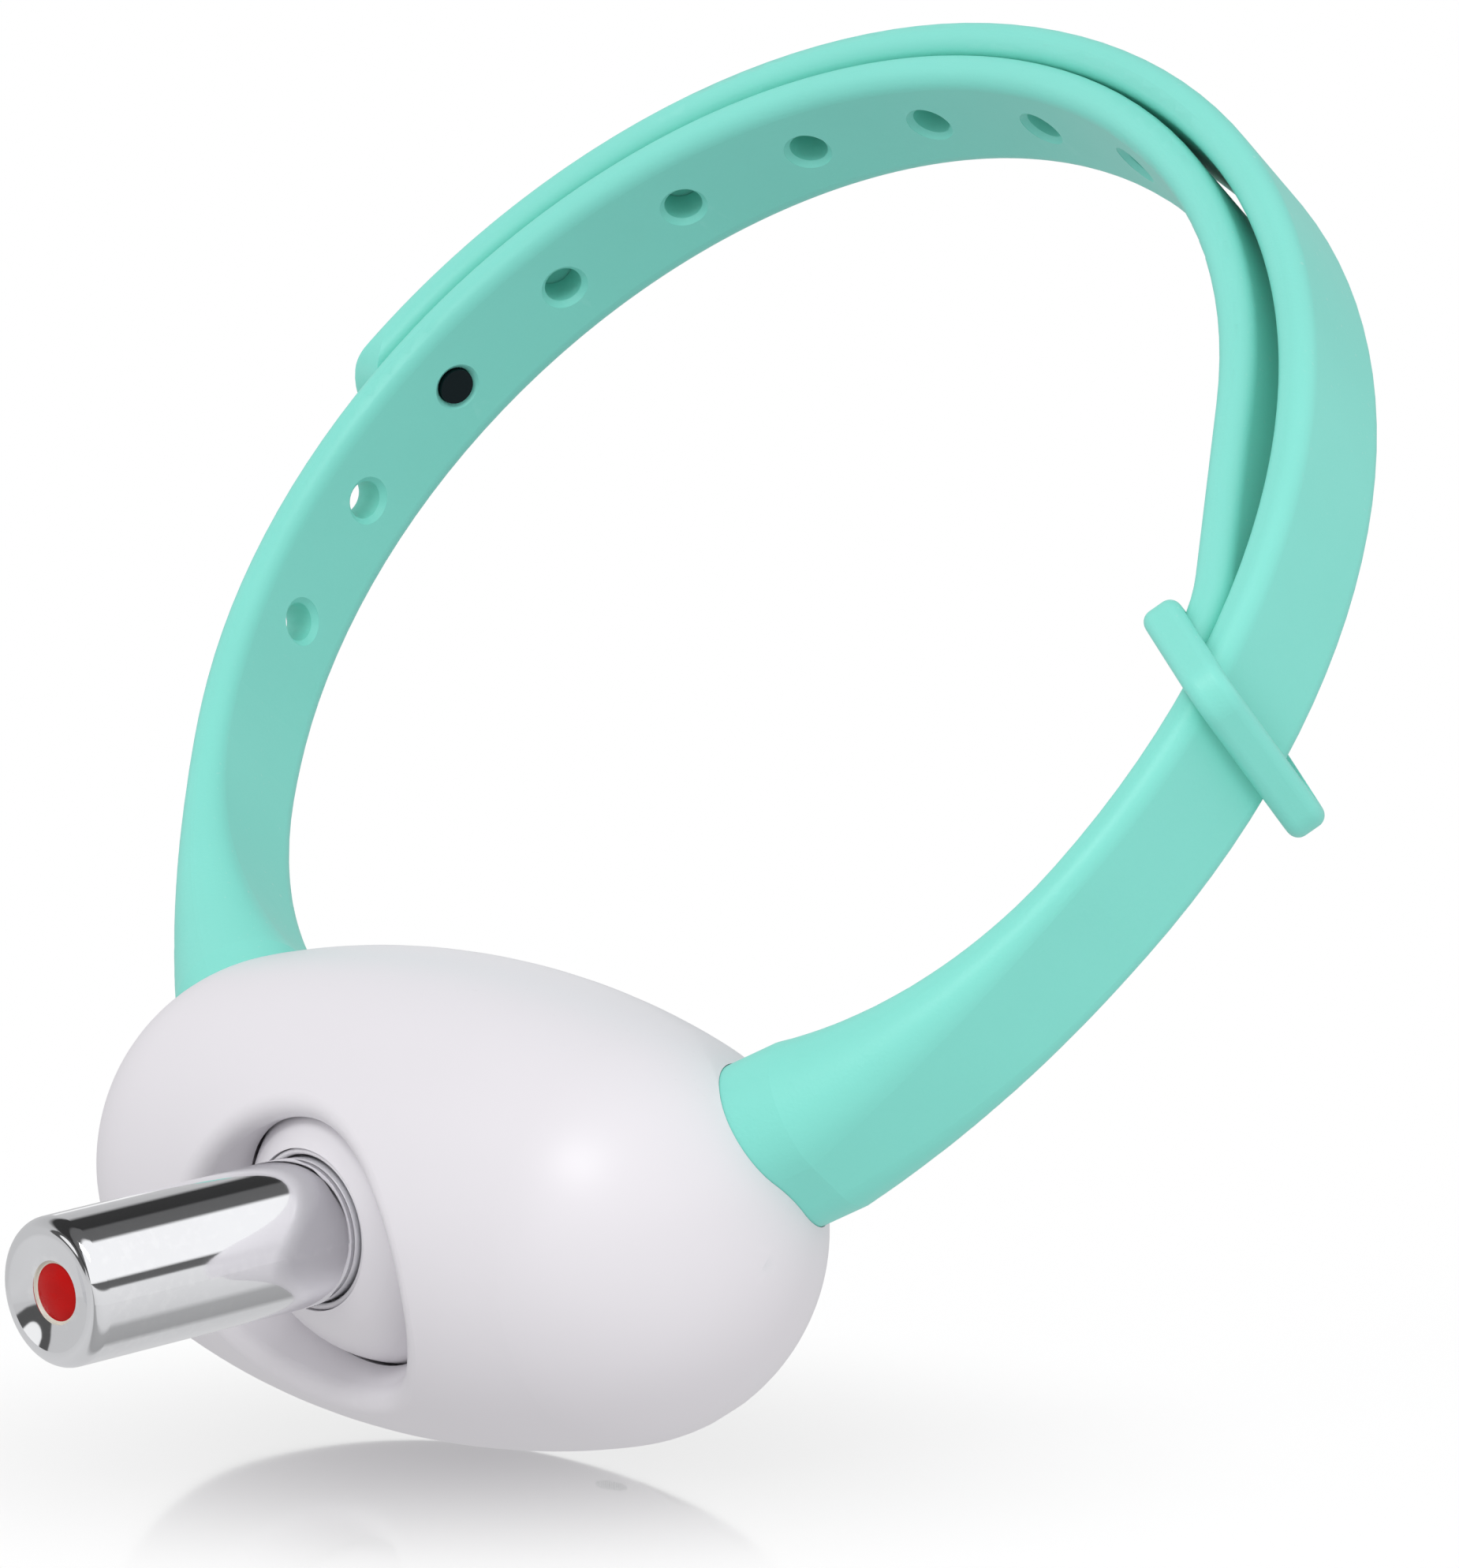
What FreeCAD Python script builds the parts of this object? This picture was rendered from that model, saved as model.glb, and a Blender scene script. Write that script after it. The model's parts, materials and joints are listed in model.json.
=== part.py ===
import FreeCAD, Part
import math
import os

# Cat laser collar: an egg-shaped pod hangs from a two-piece rubber strap loop, and a
# metal laser barrel points forward and down out of a ball socket in the pod.
# Frame: Y is the neck axis (front is -Y), +Z is up from the pod to the top of the loop,
# X runs along the pod. The origin is on the neck axis, straight above the pod's middle.

V = FreeCAD.Vector

# ---- driving dimensions, millimetres and degrees -------------------------------------

# pod
POD_HALF_LENGTH = 27.6
POD_RADIUS = 15.3
POD_DROP = 39.3             # from the neck axis down to the pod's own axis
POD_TIP_RADIUS = 13.45      # the pod's round ends; a long arc joins them over the middle
WALL = 1.6
SPLIT_Y = 7.0               # plane between the front shell and the rear cover
LIP_HEIGHT = 1.2
LIP_THICKNESS = 0.8
LIP_CLEARANCE = 0.1
LIP_REACH = 16.0            # the lip stops short of the strap anchors
GASKET_SIZE = 0.5
GASKET_INSET = 0.4          # of the gasket groove from the pod's outer face

# strap loop
LOOP_OFFSET = 4.7           # the loop's middle lies this far left of the pod's
LOOP_DROP = 32.2            # from the neck axis down to the foot of the loop's inner circle
LOOP_INNER_RADIUS = 38.3    # to the inner face of the perforated strap
STRAP_WIDTH = 9.5
STRAP_THICKNESS = 2.6
STRAP_EDGE = 0.25           # flat left between the two rounded edges of a strap side
LAYER_GAP = 0.1             # between the two straps where they lie together
SIDE_EASE = 3.3             # the plain strap's side bends this much wider than its top
LEFT_ROOT_JOIN = -158.85    # where each strap leaves its circle to bend in to the pod
RIGHT_ROOT_JOIN = -21.96
BOW_TURN_RADIUS = 12.0      # bend at the perforated strap's free end
BOW_END_ANGLE = 5.0         # where the free end comes to lie on the plain strap
FREE_END_ANGLE = 2.6
PLAIN_TIP_PAST_STUD = 5.0   # from the stud's middle to the plain strap's rounded tip

# strap roots
ANCHOR_X = 24.4             # where each strap meets the pod
ROOT_WIDTH = 12.2
ROOT_THICKNESS = 9.2
ROOT_TAPER = 24.0           # stretch of strap over which the root swells
ROOT_STRAIGHT = 2.0         # stretch at the pod where it is full size
ROOT_STATIONS = (1.0, 0.84, 0.66, 0.48, 0.31, 0.18, 0.08, 0.0)
ROOT_SWELL_POWER = 1.9
WINDOW_CLEARANCE = 0.05
FLANGE_OVERHANG = 0.7
FLANGE_THICKNESS = 1.4
FLANGE_SHORT = 0.4          # the flange stops this far short of the split plane

# strap holes and the closure stud
HOLE_DIAMETER = 2.6
HOLE_PITCH = 10.0           # along the inner face
HOLE_COUNT = 9
HOLE_CHAMFER = 0.35         # on the inner face, where the stud's foot is pushed through
FIRST_HOLE_ANGLE = 190.3    # about the loop centre, from +X
STUD_HOLE = 2               # the stud sits in the third hole
STUD_CLEARANCE = 0.08
STUD_HEAD_DIAMETER = 5.0
STUD_HEAD_HEIGHT = 1.3
STUD_SEAT_GAP = 0.1

# strap keeper
KEEPER_ANGLE = 1.0
KEEPER_BAND = 2.6           # along the strap
KEEPER_WALL = 1.2
KEEPER_CLEARANCE = 0.35
KEEPER_SLACK = 2.2          # the loose side stands past the strap's far edge
KEEPER_TILT = -5.5          # its far side hangs lower
KEEPER_LEAN = 35.0          # its outer side hangs lower
KEEPER_ROUND = 0.8
KEEPER_CORNER = 1.4         # of the opening

# ball socket
BALL_FORWARD = 3.1          # the ball's middle in front of the neck plane
BALL_DROP = 2.6             # and below the pod's axis
BALL_RADIUS = 10.0
BALL_CLEARANCE = 0.2
SOCKET_SLOPE = 57.0         # of the socket axis below the horizontal
SEAM_HEIGHT = 5.3           # from the ball's middle out to the edge of the socket
FUNNEL_HALF_ANGLE = 15.0
FUNNEL_ROUND = 1.1
CUP_WALL = 1.6
CUP_JOIN = 0.2              # depth over which the cup runs into the pod's wall
CUP_RIM_DEPTH = 0.5         # the cup's rim behind the ball's middle on the socket axis
RETAINER_DEPTH = 7.8
RETAINER_FLOOR = 1.2
SEAT_DEPTH = 3.6            # the seat ring's front face behind the ball's middle
RETAINER_GAP = 0.3          # between the retainer and the pod's wall
SEAT_CLEARANCE = 0.1
RETAINER_SCREW_OFFSET = 9.5
RETAINER_EAR_RADIUS = 2.0
RETAINER_BOSS_LENGTH = 4.5

# laser head
BARREL_SLOPE = 42.8         # of the laser axis below the horizontal
BARREL_DIAMETER = 9.4
BARREL_REACH = 29.6         # from the ball's middle to the barrel's front face
BARREL_BACK = 3.0
BARREL_STEP = 0.1           # the barrel is this much thinner where it sits in the ball
BARREL_SHOULDER = 9.6       # from the ball's middle to the end of the thin part
BARREL_BORE = 7.6
BARREL_ROUND = 1.0
FACE_THICKNESS = 1.8
DISH_DIAMETER = 7.2
DISH_DEPTH = 0.7
LENS_DIAMETER = 3.6
LENS_RING_WALL = 0.2
LENS_THICKNESS = 1.0
LENS_BULGE = 0.3
BALL_WALL = 1.8
BALL_BACK = 7.4             # from the ball's middle back to its open end
BALL_GROOVE = 0.45          # open ring in the ball round the barrel
BALL_GROOVE_DEPTH = 1.6
MODULE_DIAMETER = 7.4
MODULE_LENGTH = 12.0
MODULE_FROM_FACE = 3.4
DIODE_DIAMETER = 5.6
DIODE_LENGTH = 3.6
DRIVER_THICKNESS = 0.8
DRIVER_DIAMETER = 7.0

# electronics
BOARD_X = 12.7
BOARD_THICKNESS = 0.8
BOARD_RADIUS = 10.0
BOARD_HALF_HEIGHT = 9.4
RIB_THICKNESS = 1.0
RIB_BEARING = 0.8           # width of the rib that the board rests on
PORT_WIDTH = 8.94
PORT_HEIGHT = 3.26
PORT_DEPTH = 7.3
PORT_WALL = 0.3
PORT_INSET = 5.1            # of the port's face below the pod's widest surface
PORT_DROP = 1.9             # of the port's middle below the pod's axis
SWITCH_SIZE = 3.0
SWITCH_ANGLE = 42.0         # of the button about the pod's axis, up from the rear
SWITCH_REACH = 8.9          # of its face from the pod's axis
PLUNGER_DIAMETER = 1.4
PLUNGER_LENGTH = 0.8        # that stands out of the switch
PLUNGER_CLEARANCE = 0.1
PLUNGER_WELL = 1.8
PLUNGER_GAP = 0.8           # left under the plunger, more than the button's travel
LED_ANGLE = -49.0
LED_SIZE = 0.9
LED_REACH = 10.0
CHIP_SIZE = 4.4
CHIP_THICKNESS = 0.9
BATTERY_THICKNESS = 5.0
BATTERY_LENGTH = 17.0
BATTERY_HEIGHT = 11.0
BATTERY_X = -12.6
TAPE_THICKNESS = 0.6
TAPE_SIZE = 10.0
LEAD_DIAMETER = 0.8
LEAD_PITCH = 1.6
LEAD_Y = 5.5                # the two battery leads run straight along the pod, behind the ball
LEAD_RISE = 4.4             # above the pod's axis

# rear cover features
BUTTON_DIAMETER = 4.4
BUTTON_CLEARANCE = 0.3
BUTTON_PROUD = 0.4
BUTTON_TRAVEL = 0.4
BUTTON_DOME = 0.5
BUTTON_FLANGE = 0.5
BUTTON_FLANGE_THICKNESS = 0.7
BUTTON_GUIDE_WALL = 1.1
PLUG_WIDTH = 12.0
PLUG_HEIGHT = 5.6
PLUG_THICKNESS = 1.0
PLUG_FLOOR_GAP = 0.5        # between the plug's skin and the floor of its pocket
PLUG_CLEARANCE = 0.3
PLUG_TONGUE_GAP = 0.3       # between the plug's tongue and the port's face
PLUG_CORNER = 1.2
PORT_PAD = 1.5              # material left under the plug's pocket
PORT_OPENING_GAP = 0.3
WINDOW_DIAMETER = 2.0
SCREW_X = 20.4
SCREW_DROP = 5.8            # below the pod's axis
SCREW_DIAMETER = 1.6
SCREW_LENGTH = 5.0
SCREW_HEAD_DIAMETER = 2.8
SCREW_HEAD_HEIGHT = 0.9
SCREW_HOLE_CLEARANCE = 0.1
SCREW_SEAT = 1.1            # cover material under a screw head
BOSS_WALL = 1.4
BOSS_LENGTH = 6.0

FAR = 60.0                  # longer than any cut needs to be

# ---- frames and places worked out from the dimensions ----------------------------------

POD_CENTRE = V(0, 0, -POD_DROP)
BALL_CENTRE = V(0, -BALL_FORWARD, -POD_DROP - BALL_DROP)
LOOP_CENTRE = V(-LOOP_OFFSET, 0, LOOP_INNER_RADIUS - LOOP_DROP)
PERFORATED_RADIUS = LOOP_INNER_RADIUS + STRAP_THICKNESS / 2
OUTER_RADIUS = PERFORATED_RADIUS + STRAP_THICKNESS + LAYER_GAP
SIDE_RADIUS = OUTER_RADIUS + SIDE_EASE
SIDE_CENTRE = LOOP_CENTRE - V(0, 0, SIDE_EASE)
FREE_END_RADIUS = SIDE_RADIUS - STRAP_THICKNESS - LAYER_GAP
BOARD_FACE_X = BOARD_X + BOARD_THICKNESS
PORT_FACE_Y = POD_RADIUS - PORT_INSET
TIP_X = POD_HALF_LENGTH - POD_TIP_RADIUS
BELLY_RADIUS = TIP_X ** 2 + POD_RADIUS ** 2 - POD_TIP_RADIUS ** 2
BELLY_RADIUS /= 2 * (POD_RADIUS - POD_TIP_RADIUS)


def ray(angle):
    """Unit vector in the XZ plane at an angle from +X towards +Z, in degrees."""
    turn = math.radians(angle)
    return V(math.cos(turn), 0, math.sin(turn))


def angle_of(vector):
    """Angle of a vector in the XZ plane from +X towards +Z, in degrees."""
    return math.degrees(math.atan2(vector.z, vector.x))


def aimed(shape, slope, origin=BALL_CENTRE):
    """Turn a shape made about +Z to point forward and down by the slope, at the origin."""
    turn = FreeCAD.Rotation(V(1, 0, 0), 90 + slope)
    return placed(shape, FreeCAD.Placement(origin, turn))


def placed(shape, placement):
    """Copy of a shape moved by a placement."""
    moved = shape.copy()
    moved.Placement = placement.multiply(moved.Placement)
    return moved


def pod_radius(x, inset=0.0):
    """Radius of the pod's surface at station x, for a surface inset from the outside."""
    belly = BELLY_RADIUS - inset
    if abs(x) < TIP_X * belly / (BELLY_RADIUS - POD_TIP_RADIUS):
        return POD_RADIUS - BELLY_RADIUS + math.sqrt(belly ** 2 - x ** 2)
    return math.sqrt((POD_TIP_RADIUS - inset) ** 2 - (abs(x) - TIP_X) ** 2)


def turned(points):
    """Solid of revolution about +Z from a closed outline of (radius, height) points."""
    corners = [V(radius, 0, height) for radius, height in points]
    outline = Part.makePolygon(corners + corners[:1])
    return Part.Face(outline).revolve(V(0, 0, 0), V(0, 0, 1), 360)


def cylinder(radius, start, end):
    """Cylinder about +Z between two heights."""
    return Part.makeCylinder(radius, end - start, V(0, 0, start))


def egg(inset=0.0):
    """The pod's outer form, or the same form with its skin moved in."""
    end = V(TIP_X + POD_TIP_RADIUS - inset, 0, 0)
    shoulder_x = TIP_X * (BELLY_RADIUS - inset) / (BELLY_RADIUS - POD_TIP_RADIUS)
    shoulder = V(shoulder_x, 0, pod_radius(shoulder_x, inset))
    turn = math.atan2(shoulder.z, shoulder.x - TIP_X) / 2
    round_middle = V(TIP_X, 0, 0) + V(math.cos(turn), 0, math.sin(turn)) * (POD_TIP_RADIUS - inset)
    mirrored = [V(-point.x, 0, point.z) for point in (shoulder, round_middle, end)]
    outline = [Part.Arc(end, round_middle, shoulder).toShape(),
               Part.Arc(shoulder, V(0, 0, POD_RADIUS - inset), mirrored[0]).toShape(),
               Part.Arc(*mirrored).toShape(),
               Part.makeLine(mirrored[2], end)]
    solid = Part.Face(Part.Wire(outline)).revolve(V(0, 0, 0), V(1, 0, 0), 360)
    solid.translate(POD_CENTRE)
    return solid


def band(outer, inner, start_y, end_y, half_length=FAR):
    """Part of the pod's skin between two insets and two Y planes."""
    return egg(outer).common(slab(start_y, end_y, half_length)).cut(egg(inner))


def slab(start_y, end_y, half_length=FAR):
    """Block between two Y planes that is wider than the pod unless a half length is given."""
    return Part.makeBox(2 * half_length, end_y - start_y, 2 * FAR,
                        V(-half_length, start_y, -POD_DROP - FAR))


def rounded_rectangle(width, height, corner):
    """Wire of a rectangle with round corners about the origin in the XY plane."""
    side = width / 2 - corner
    top = height / 2 - corner
    edges = []
    for quarter, centre in enumerate((V(side, top, 0), V(-side, top, 0),
                                      V(-side, -top, 0), V(side, -top, 0))):
        start = quarter * 90
        edges.append(Part.makeCircle(corner, centre, V(0, 0, 1), start, start + 90))
    wire_edges = []
    for index, arc in enumerate(edges):
        following = edges[(index + 1) % len(edges)]
        wire_edges.append(arc)
        wire_edges.append(Part.makeLine(arc.valueAt(arc.LastParameter),
                                        following.valueAt(following.FirstParameter)))
    return Part.Wire(wire_edges)


def prism(wire, start, end):
    """Solid between two heights over a wire drawn in the XY plane."""
    raised = wire.copy()
    raised.translate(V(0, 0, start))
    return Part.Face(raised).extrude(V(0, 0, end - start))


def from_pod_axis(shape, angle, x):
    """Put a shape made about +Z on a spoke of the pod: +Z outwards, its X along the pod."""
    rear = FreeCAD.Rotation(V(1, 0, 0), -90)
    tilt = FreeCAD.Rotation(V(1, 0, 0), angle)
    return placed(shape, FreeCAD.Placement(POD_CENTRE + V(x, 0, 0), tilt.multiply(rear)))


# ---- strap paths ------------------------------------------------------------------------

def across(point, outwards):
    """Placement of a strap's section: its X along Y and its Y outwards from the loop."""
    turn = FreeCAD.Rotation(V(0, 1, 0), outwards, V(0, 1, 0).cross(outwards), "XYZ")
    return FreeCAD.Placement(point, turn)


class Bend:
    """Arc of a strap's middle line in the XZ plane; it starts on the side of the pod."""

    def __init__(self, centre, radius, start, end):
        self.centre = centre
        self.radius = radius
        self.start = start
        self.turn = end - start
        self.length = radius * math.radians(abs(self.turn))

    def place(self, distance):
        outwards = ray(self.start + self.turn * distance / self.length)
        return across(self.centre + outwards * self.radius, outwards)

    def swept(self, wire, skip):
        face = Part.Face(placed(wire, self.place(skip)))
        return face.revolve(self.centre, V(0, -1, 0), self.turn * (1 - skip / self.length))


class Straight:
    """Straight stretch between two places of a strap's middle line that face one way."""

    def __init__(self, start, end, outwards):
        self.start = start
        self.way = end - start
        self.outwards = outwards
        self.length = self.way.Length

    def place(self, distance):
        return across(self.start + self.way * (distance / self.length), self.outwards)

    def swept(self, wire, skip):
        face = Part.Face(placed(wire, self.place(skip)))
        return face.extrude(self.way * (1 - skip / self.length))


def root_bend(centre, radius, joining, side):
    """Arc from the pod's anchor that runs smoothly into a circle; side is -1 on the left."""
    anchor = V(side * ANCHOR_X, 0, pod_radius(ANCHOR_X) - POD_DROP)
    outwards = ray(joining)
    reach = anchor - centre
    root_radius = (reach - outwards * radius).Length ** 2 / (2 * (radius - reach.dot(outwards)))
    root_centre = centre + outwards * (radius - root_radius)
    return Bend(root_centre, root_radius, angle_of(anchor - root_centre), joining)


def perforated_path():
    """From the pod's left end up inside the loop, bowing in to a free end at the right."""
    root = root_bend(LOOP_CENTRE, PERFORATED_RADIUS, LEFT_ROOT_JOIN, -1)
    tuck_centre = SIDE_CENTRE + ray(BOW_END_ANGLE) * (FREE_END_RADIUS - BOW_TURN_RADIUS)
    between = tuck_centre - LOOP_CENTRE
    swing = math.acos((PERFORATED_RADIUS - BOW_TURN_RADIUS) / between.Length)
    leave = angle_of(between) + math.degrees(swing)
    outwards = ray(leave)
    straight = Straight(LOOP_CENTRE + outwards * PERFORATED_RADIUS,
                        tuck_centre + outwards * BOW_TURN_RADIUS, outwards)
    joining = root.start + root.turn
    return [root,
            Bend(LOOP_CENTRE, PERFORATED_RADIUS, joining % 360, leave),
            straight,
            Bend(tuck_centre, BOW_TURN_RADIUS, leave, BOW_END_ANGLE),
            Bend(SIDE_CENTRE, FREE_END_RADIUS, BOW_END_ANGLE, FREE_END_ANGLE)]


def plain_path():
    """From the pod's right end up outside and over the top to just past the stud."""
    root = root_bend(SIDE_CENTRE, SIDE_RADIUS, RIGHT_ROOT_JOIN, 1)
    tip = STUD_ANGLE + math.degrees(PLAIN_TIP_PAST_STUD / OUTER_RADIUS)
    return [root,
            Bend(SIDE_CENTRE, SIDE_RADIUS, root.start + root.turn, 90),
            Bend(LOOP_CENTRE, OUTER_RADIUS, 90, tip)]


HOLE_STEP = math.degrees(HOLE_PITCH / LOOP_INNER_RADIUS)
STUD_ANGLE = FIRST_HOLE_ANGLE - HOLE_STEP * STUD_HOLE


# ---- straps -------------------------------------------------------------------------------

def strap_section(width=STRAP_WIDTH, thickness=STRAP_THICKNESS):
    """Strap outline with its long edges rounded."""
    return rounded_rectangle(width, thickness, (thickness - STRAP_EDGE) / 2)


def swollen_root(path, growth=0.0):
    """Root of a strap, from inside the pod to where the strap is even, grown all round."""
    wires = []
    for station in ROOT_STATIONS:
        swell = (1 - station) ** ROOT_SWELL_POWER
        width = STRAP_WIDTH + (ROOT_WIDTH - STRAP_WIDTH) * swell
        thickness = STRAP_THICKNESS + (ROOT_THICKNESS - STRAP_THICKNESS) * swell
        distance = ROOT_STRAIGHT + (ROOT_TAPER - ROOT_STRAIGHT) * station
        piece = 0
        while distance > path[piece].length:
            distance -= path[piece].length
            piece += 1
        wire = strap_section(width + 2 * growth, thickness + 2 * growth)
        wires.append(placed(wire, path[piece].place(distance)))
    return Part.makeLoft(wires, True, False).fuse(root_prism(path[0], growth))


def root_prism(root, growth):
    """Straight start of a strap's root, from inside the pod out to its full-size stretch."""
    wire = strap_section(ROOT_WIDTH + 2 * growth, ROOT_THICKNESS + 2 * growth)
    place = root.place(ROOT_STRAIGHT)
    face = Part.Face(placed(wire, place))
    outwards = place.Rotation.multVec(V(0, 1, 0))
    inwards = V(0, 1, 0).cross(outwards) * math.copysign(1, root.turn)
    return face.extrude(inwards * (ROOT_STRAIGHT + ROOT_THICKNESS))


def root_anchor(root):
    """Flange that holds a strap's root from inside the pod."""
    flange = root_prism(root, FLANGE_OVERHANG).common(egg(WALL))
    flange = flange.common(slab(-FAR, SPLIT_Y - FLANGE_SHORT))
    return flange.cut(egg(WALL + FLANGE_THICKNESS))


def strap_body(path):
    """Root, anchor and the even strap along a path, in one solid."""
    pieces = [root_anchor(path[0])]
    skip = ROOT_TAPER
    for stretch in path:
        if skip < stretch.length:
            pieces.append(stretch.swept(strap_section(), skip))
        skip = max(skip - stretch.length, 0)
    strap = swollen_root(path).multiFuse(pieces)
    return strap.cut(egg(WALL + FLANGE_THICKNESS)).removeSplitter()


def strap_hole(angle):
    """Round cutter through the straps, with a chamfer at the inner face."""
    radius = HOLE_DIAMETER / 2
    face = LOOP_INNER_RADIUS
    profile = [(0, face - STRAP_THICKNESS), (radius + HOLE_CHAMFER, face - STRAP_THICKNESS),
               (radius + HOLE_CHAMFER, face), (radius, face + HOLE_CHAMFER),
               (radius, face + 3 * STRAP_THICKNESS), (0, face + 3 * STRAP_THICKNESS)]
    turn = FreeCAD.Rotation(V(0, 0, 1), ray(angle))
    return placed(turned(profile), FreeCAD.Placement(LOOP_CENTRE, turn))


def perforated_strap():
    strap = strap_body(perforated_path())
    for index in range(HOLE_COUNT):
        strap = strap.cut(strap_hole(FIRST_HOLE_ANGLE - HOLE_STEP * index))
    return strap


def plain_strap():
    """Plain strap over the outside, with the stud's hole and a rounded tip."""
    path = plain_path()
    strap = strap_body(path).cut(strap_hole(STUD_ANGLE))
    return strap.cut(tip_corners(path[-1].place(path[-1].length)))


def tip_corners(end):
    """What is cut off a strap's end place to leave it rounded in plan."""
    radius = STRAP_WIDTH / 2 - STRAP_EDGE
    corners = Part.makeBox(STRAP_WIDTH, 2 * STRAP_WIDTH, 2 * STRAP_THICKNESS,
                           V(-radius, -STRAP_WIDTH, -STRAP_THICKNESS))
    kept = prism(rounded_rectangle(2 * STRAP_WIDTH, STRAP_WIDTH, radius), -STRAP_THICKNESS,
                 STRAP_THICKNESS)
    kept.translate(V(-STRAP_WIDTH, 0, 0))
    ahead = V(0, -1, 0).cross(end.Rotation.multVec(V(0, 1, 0)))
    turn = FreeCAD.Rotation(ahead, V(0, 1, 0), ahead.cross(V(0, 1, 0)), "XYZ")
    return placed(corners.cut(kept), FreeCAD.Placement(end.Base, turn))


def closure_stud():
    """Snap stud: a shank through both straps with a domed head outside."""
    shank_start = LOOP_INNER_RADIUS
    outer_face = OUTER_RADIUS + STRAP_THICKNESS / 2
    shank_radius = HOLE_DIAMETER / 2 - STUD_CLEARANCE
    shank = cylinder(shank_radius, shank_start, outer_face + STUD_SEAT_GAP)
    head_radius = STUD_HEAD_DIAMETER / 2
    dome = (head_radius ** 2 + STUD_HEAD_HEIGHT ** 2) / (2 * STUD_HEAD_HEIGHT)
    seat = outer_face + STUD_SEAT_GAP
    ball = Part.makeSphere(dome, V(0, 0, seat + STUD_HEAD_HEIGHT - dome))
    head = ball.common(cylinder(head_radius, seat, seat + STUD_HEAD_HEIGHT + 1))
    turn = FreeCAD.Rotation(V(0, 0, 1), ray(STUD_ANGLE))
    return placed(shank.fuse(head), FreeCAD.Placement(LOOP_CENTRE, turn))


def slanted(across_strap, lean):
    """Opening that a leaning ring needs to clear a width of strap on both sides."""
    turn = math.radians(abs(lean))
    reach = across_strap + KEEPER_BAND * math.sin(turn)
    return reach / math.cos(turn) + 2 * KEEPER_CLEARANCE


def strap_keeper():
    """Loose rubber ring round both straps, longer than they need and a little askew."""
    stack = 2 * STRAP_THICKNESS + LAYER_GAP
    width = slanted(STRAP_WIDTH, KEEPER_TILT) + KEEPER_SLACK
    height = slanted(stack, KEEPER_LEAN)
    hole = rounded_rectangle(width, height, KEEPER_CORNER)
    skin = rounded_rectangle(width + 2 * KEEPER_WALL, height + 2 * KEEPER_WALL,
                             KEEPER_CORNER + KEEPER_WALL)
    ring = prism(skin, -KEEPER_BAND / 2, KEEPER_BAND / 2)
    ring = ring.makeFillet(KEEPER_ROUND, [e for e in ring.Edges if abs(e.CenterOfMass.z) > 1])
    ring = ring.cut(prism(hole, -KEEPER_BAND, KEEPER_BAND))
    ring.translate(V(KEEPER_SLACK / 2, 0, 0))
    ring.rotate(V(0, 0, 0), V(1, 0, 0), KEEPER_LEAN)
    ring.rotate(V(0, 0, 0), V(0, 1, 0), KEEPER_TILT)
    ring.translate(V(0, -stack / 2 + STRAP_THICKNESS / 2, 0))
    middle = SIDE_CENTRE + ray(KEEPER_ANGLE) * SIDE_RADIUS
    return placed(ring, across(middle, ray(KEEPER_ANGLE)))


# ---- ball socket ----------------------------------------------------------------------------

def funnel():
    """Space outside the ball: it opens from the seam towards the front of the pod."""
    seam_radius = math.sqrt(BALL_RADIUS ** 2 - SEAM_HEIGHT ** 2)
    depth = POD_RADIUS
    spread = depth * math.tan(math.radians(FUNNEL_HALF_ANGLE))
    return turned([(0, SEAM_HEIGHT), (seam_radius, SEAM_HEIGHT),
                   (seam_radius + spread, SEAM_HEIGHT + depth), (0, SEAM_HEIGHT + depth)])


def ear_places():
    """Two screw places on the rear side of the socket, in the socket's own frame."""
    return [V(side * RETAINER_SCREW_OFFSET, -RETAINER_SCREW_OFFSET, 0) for side in (-1, 1)]


CUP_RIM = -CUP_RIM_DEPTH
CUP_INNER = BALL_RADIUS + BALL_CLEARANCE
CUP_OUTER = CUP_INNER + CUP_WALL
SEAT_OUTER = CUP_INNER
RETAINER_END = CUP_RIM - RETAINER_DEPTH


def socket_cup():
    """Cup round the front half of the ball, with bosses for the retainer's screws."""
    cup = cylinder(CUP_OUTER, CUP_RIM, 2 * POD_RADIUS)
    for place in ear_places():
        boss = cylinder(RETAINER_EAR_RADIUS, CUP_RIM, CUP_RIM + RETAINER_BOSS_LENGTH)
        boss.translate(place)
        cup = cup.fuse(boss)
    return aimed(cup, SOCKET_SLOPE).common(egg(WALL - CUP_JOIN))


def socket_space():
    """Everything that the socket leaves open: the ball's space, the funnel, screw holes."""
    space = Part.makeSphere(CUP_INNER).fuse(cylinder(CUP_INNER, CUP_RIM - 1, 0)).fuse(funnel())
    for place in ear_places():
        hole = cylinder(SCREW_DIAMETER / 2, CUP_RIM - 1, CUP_RIM + RETAINER_BOSS_LENGTH - 1)
        hole.translate(place)
        space = space.fuse(hole)
    return aimed(space, SOCKET_SLOPE)


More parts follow.
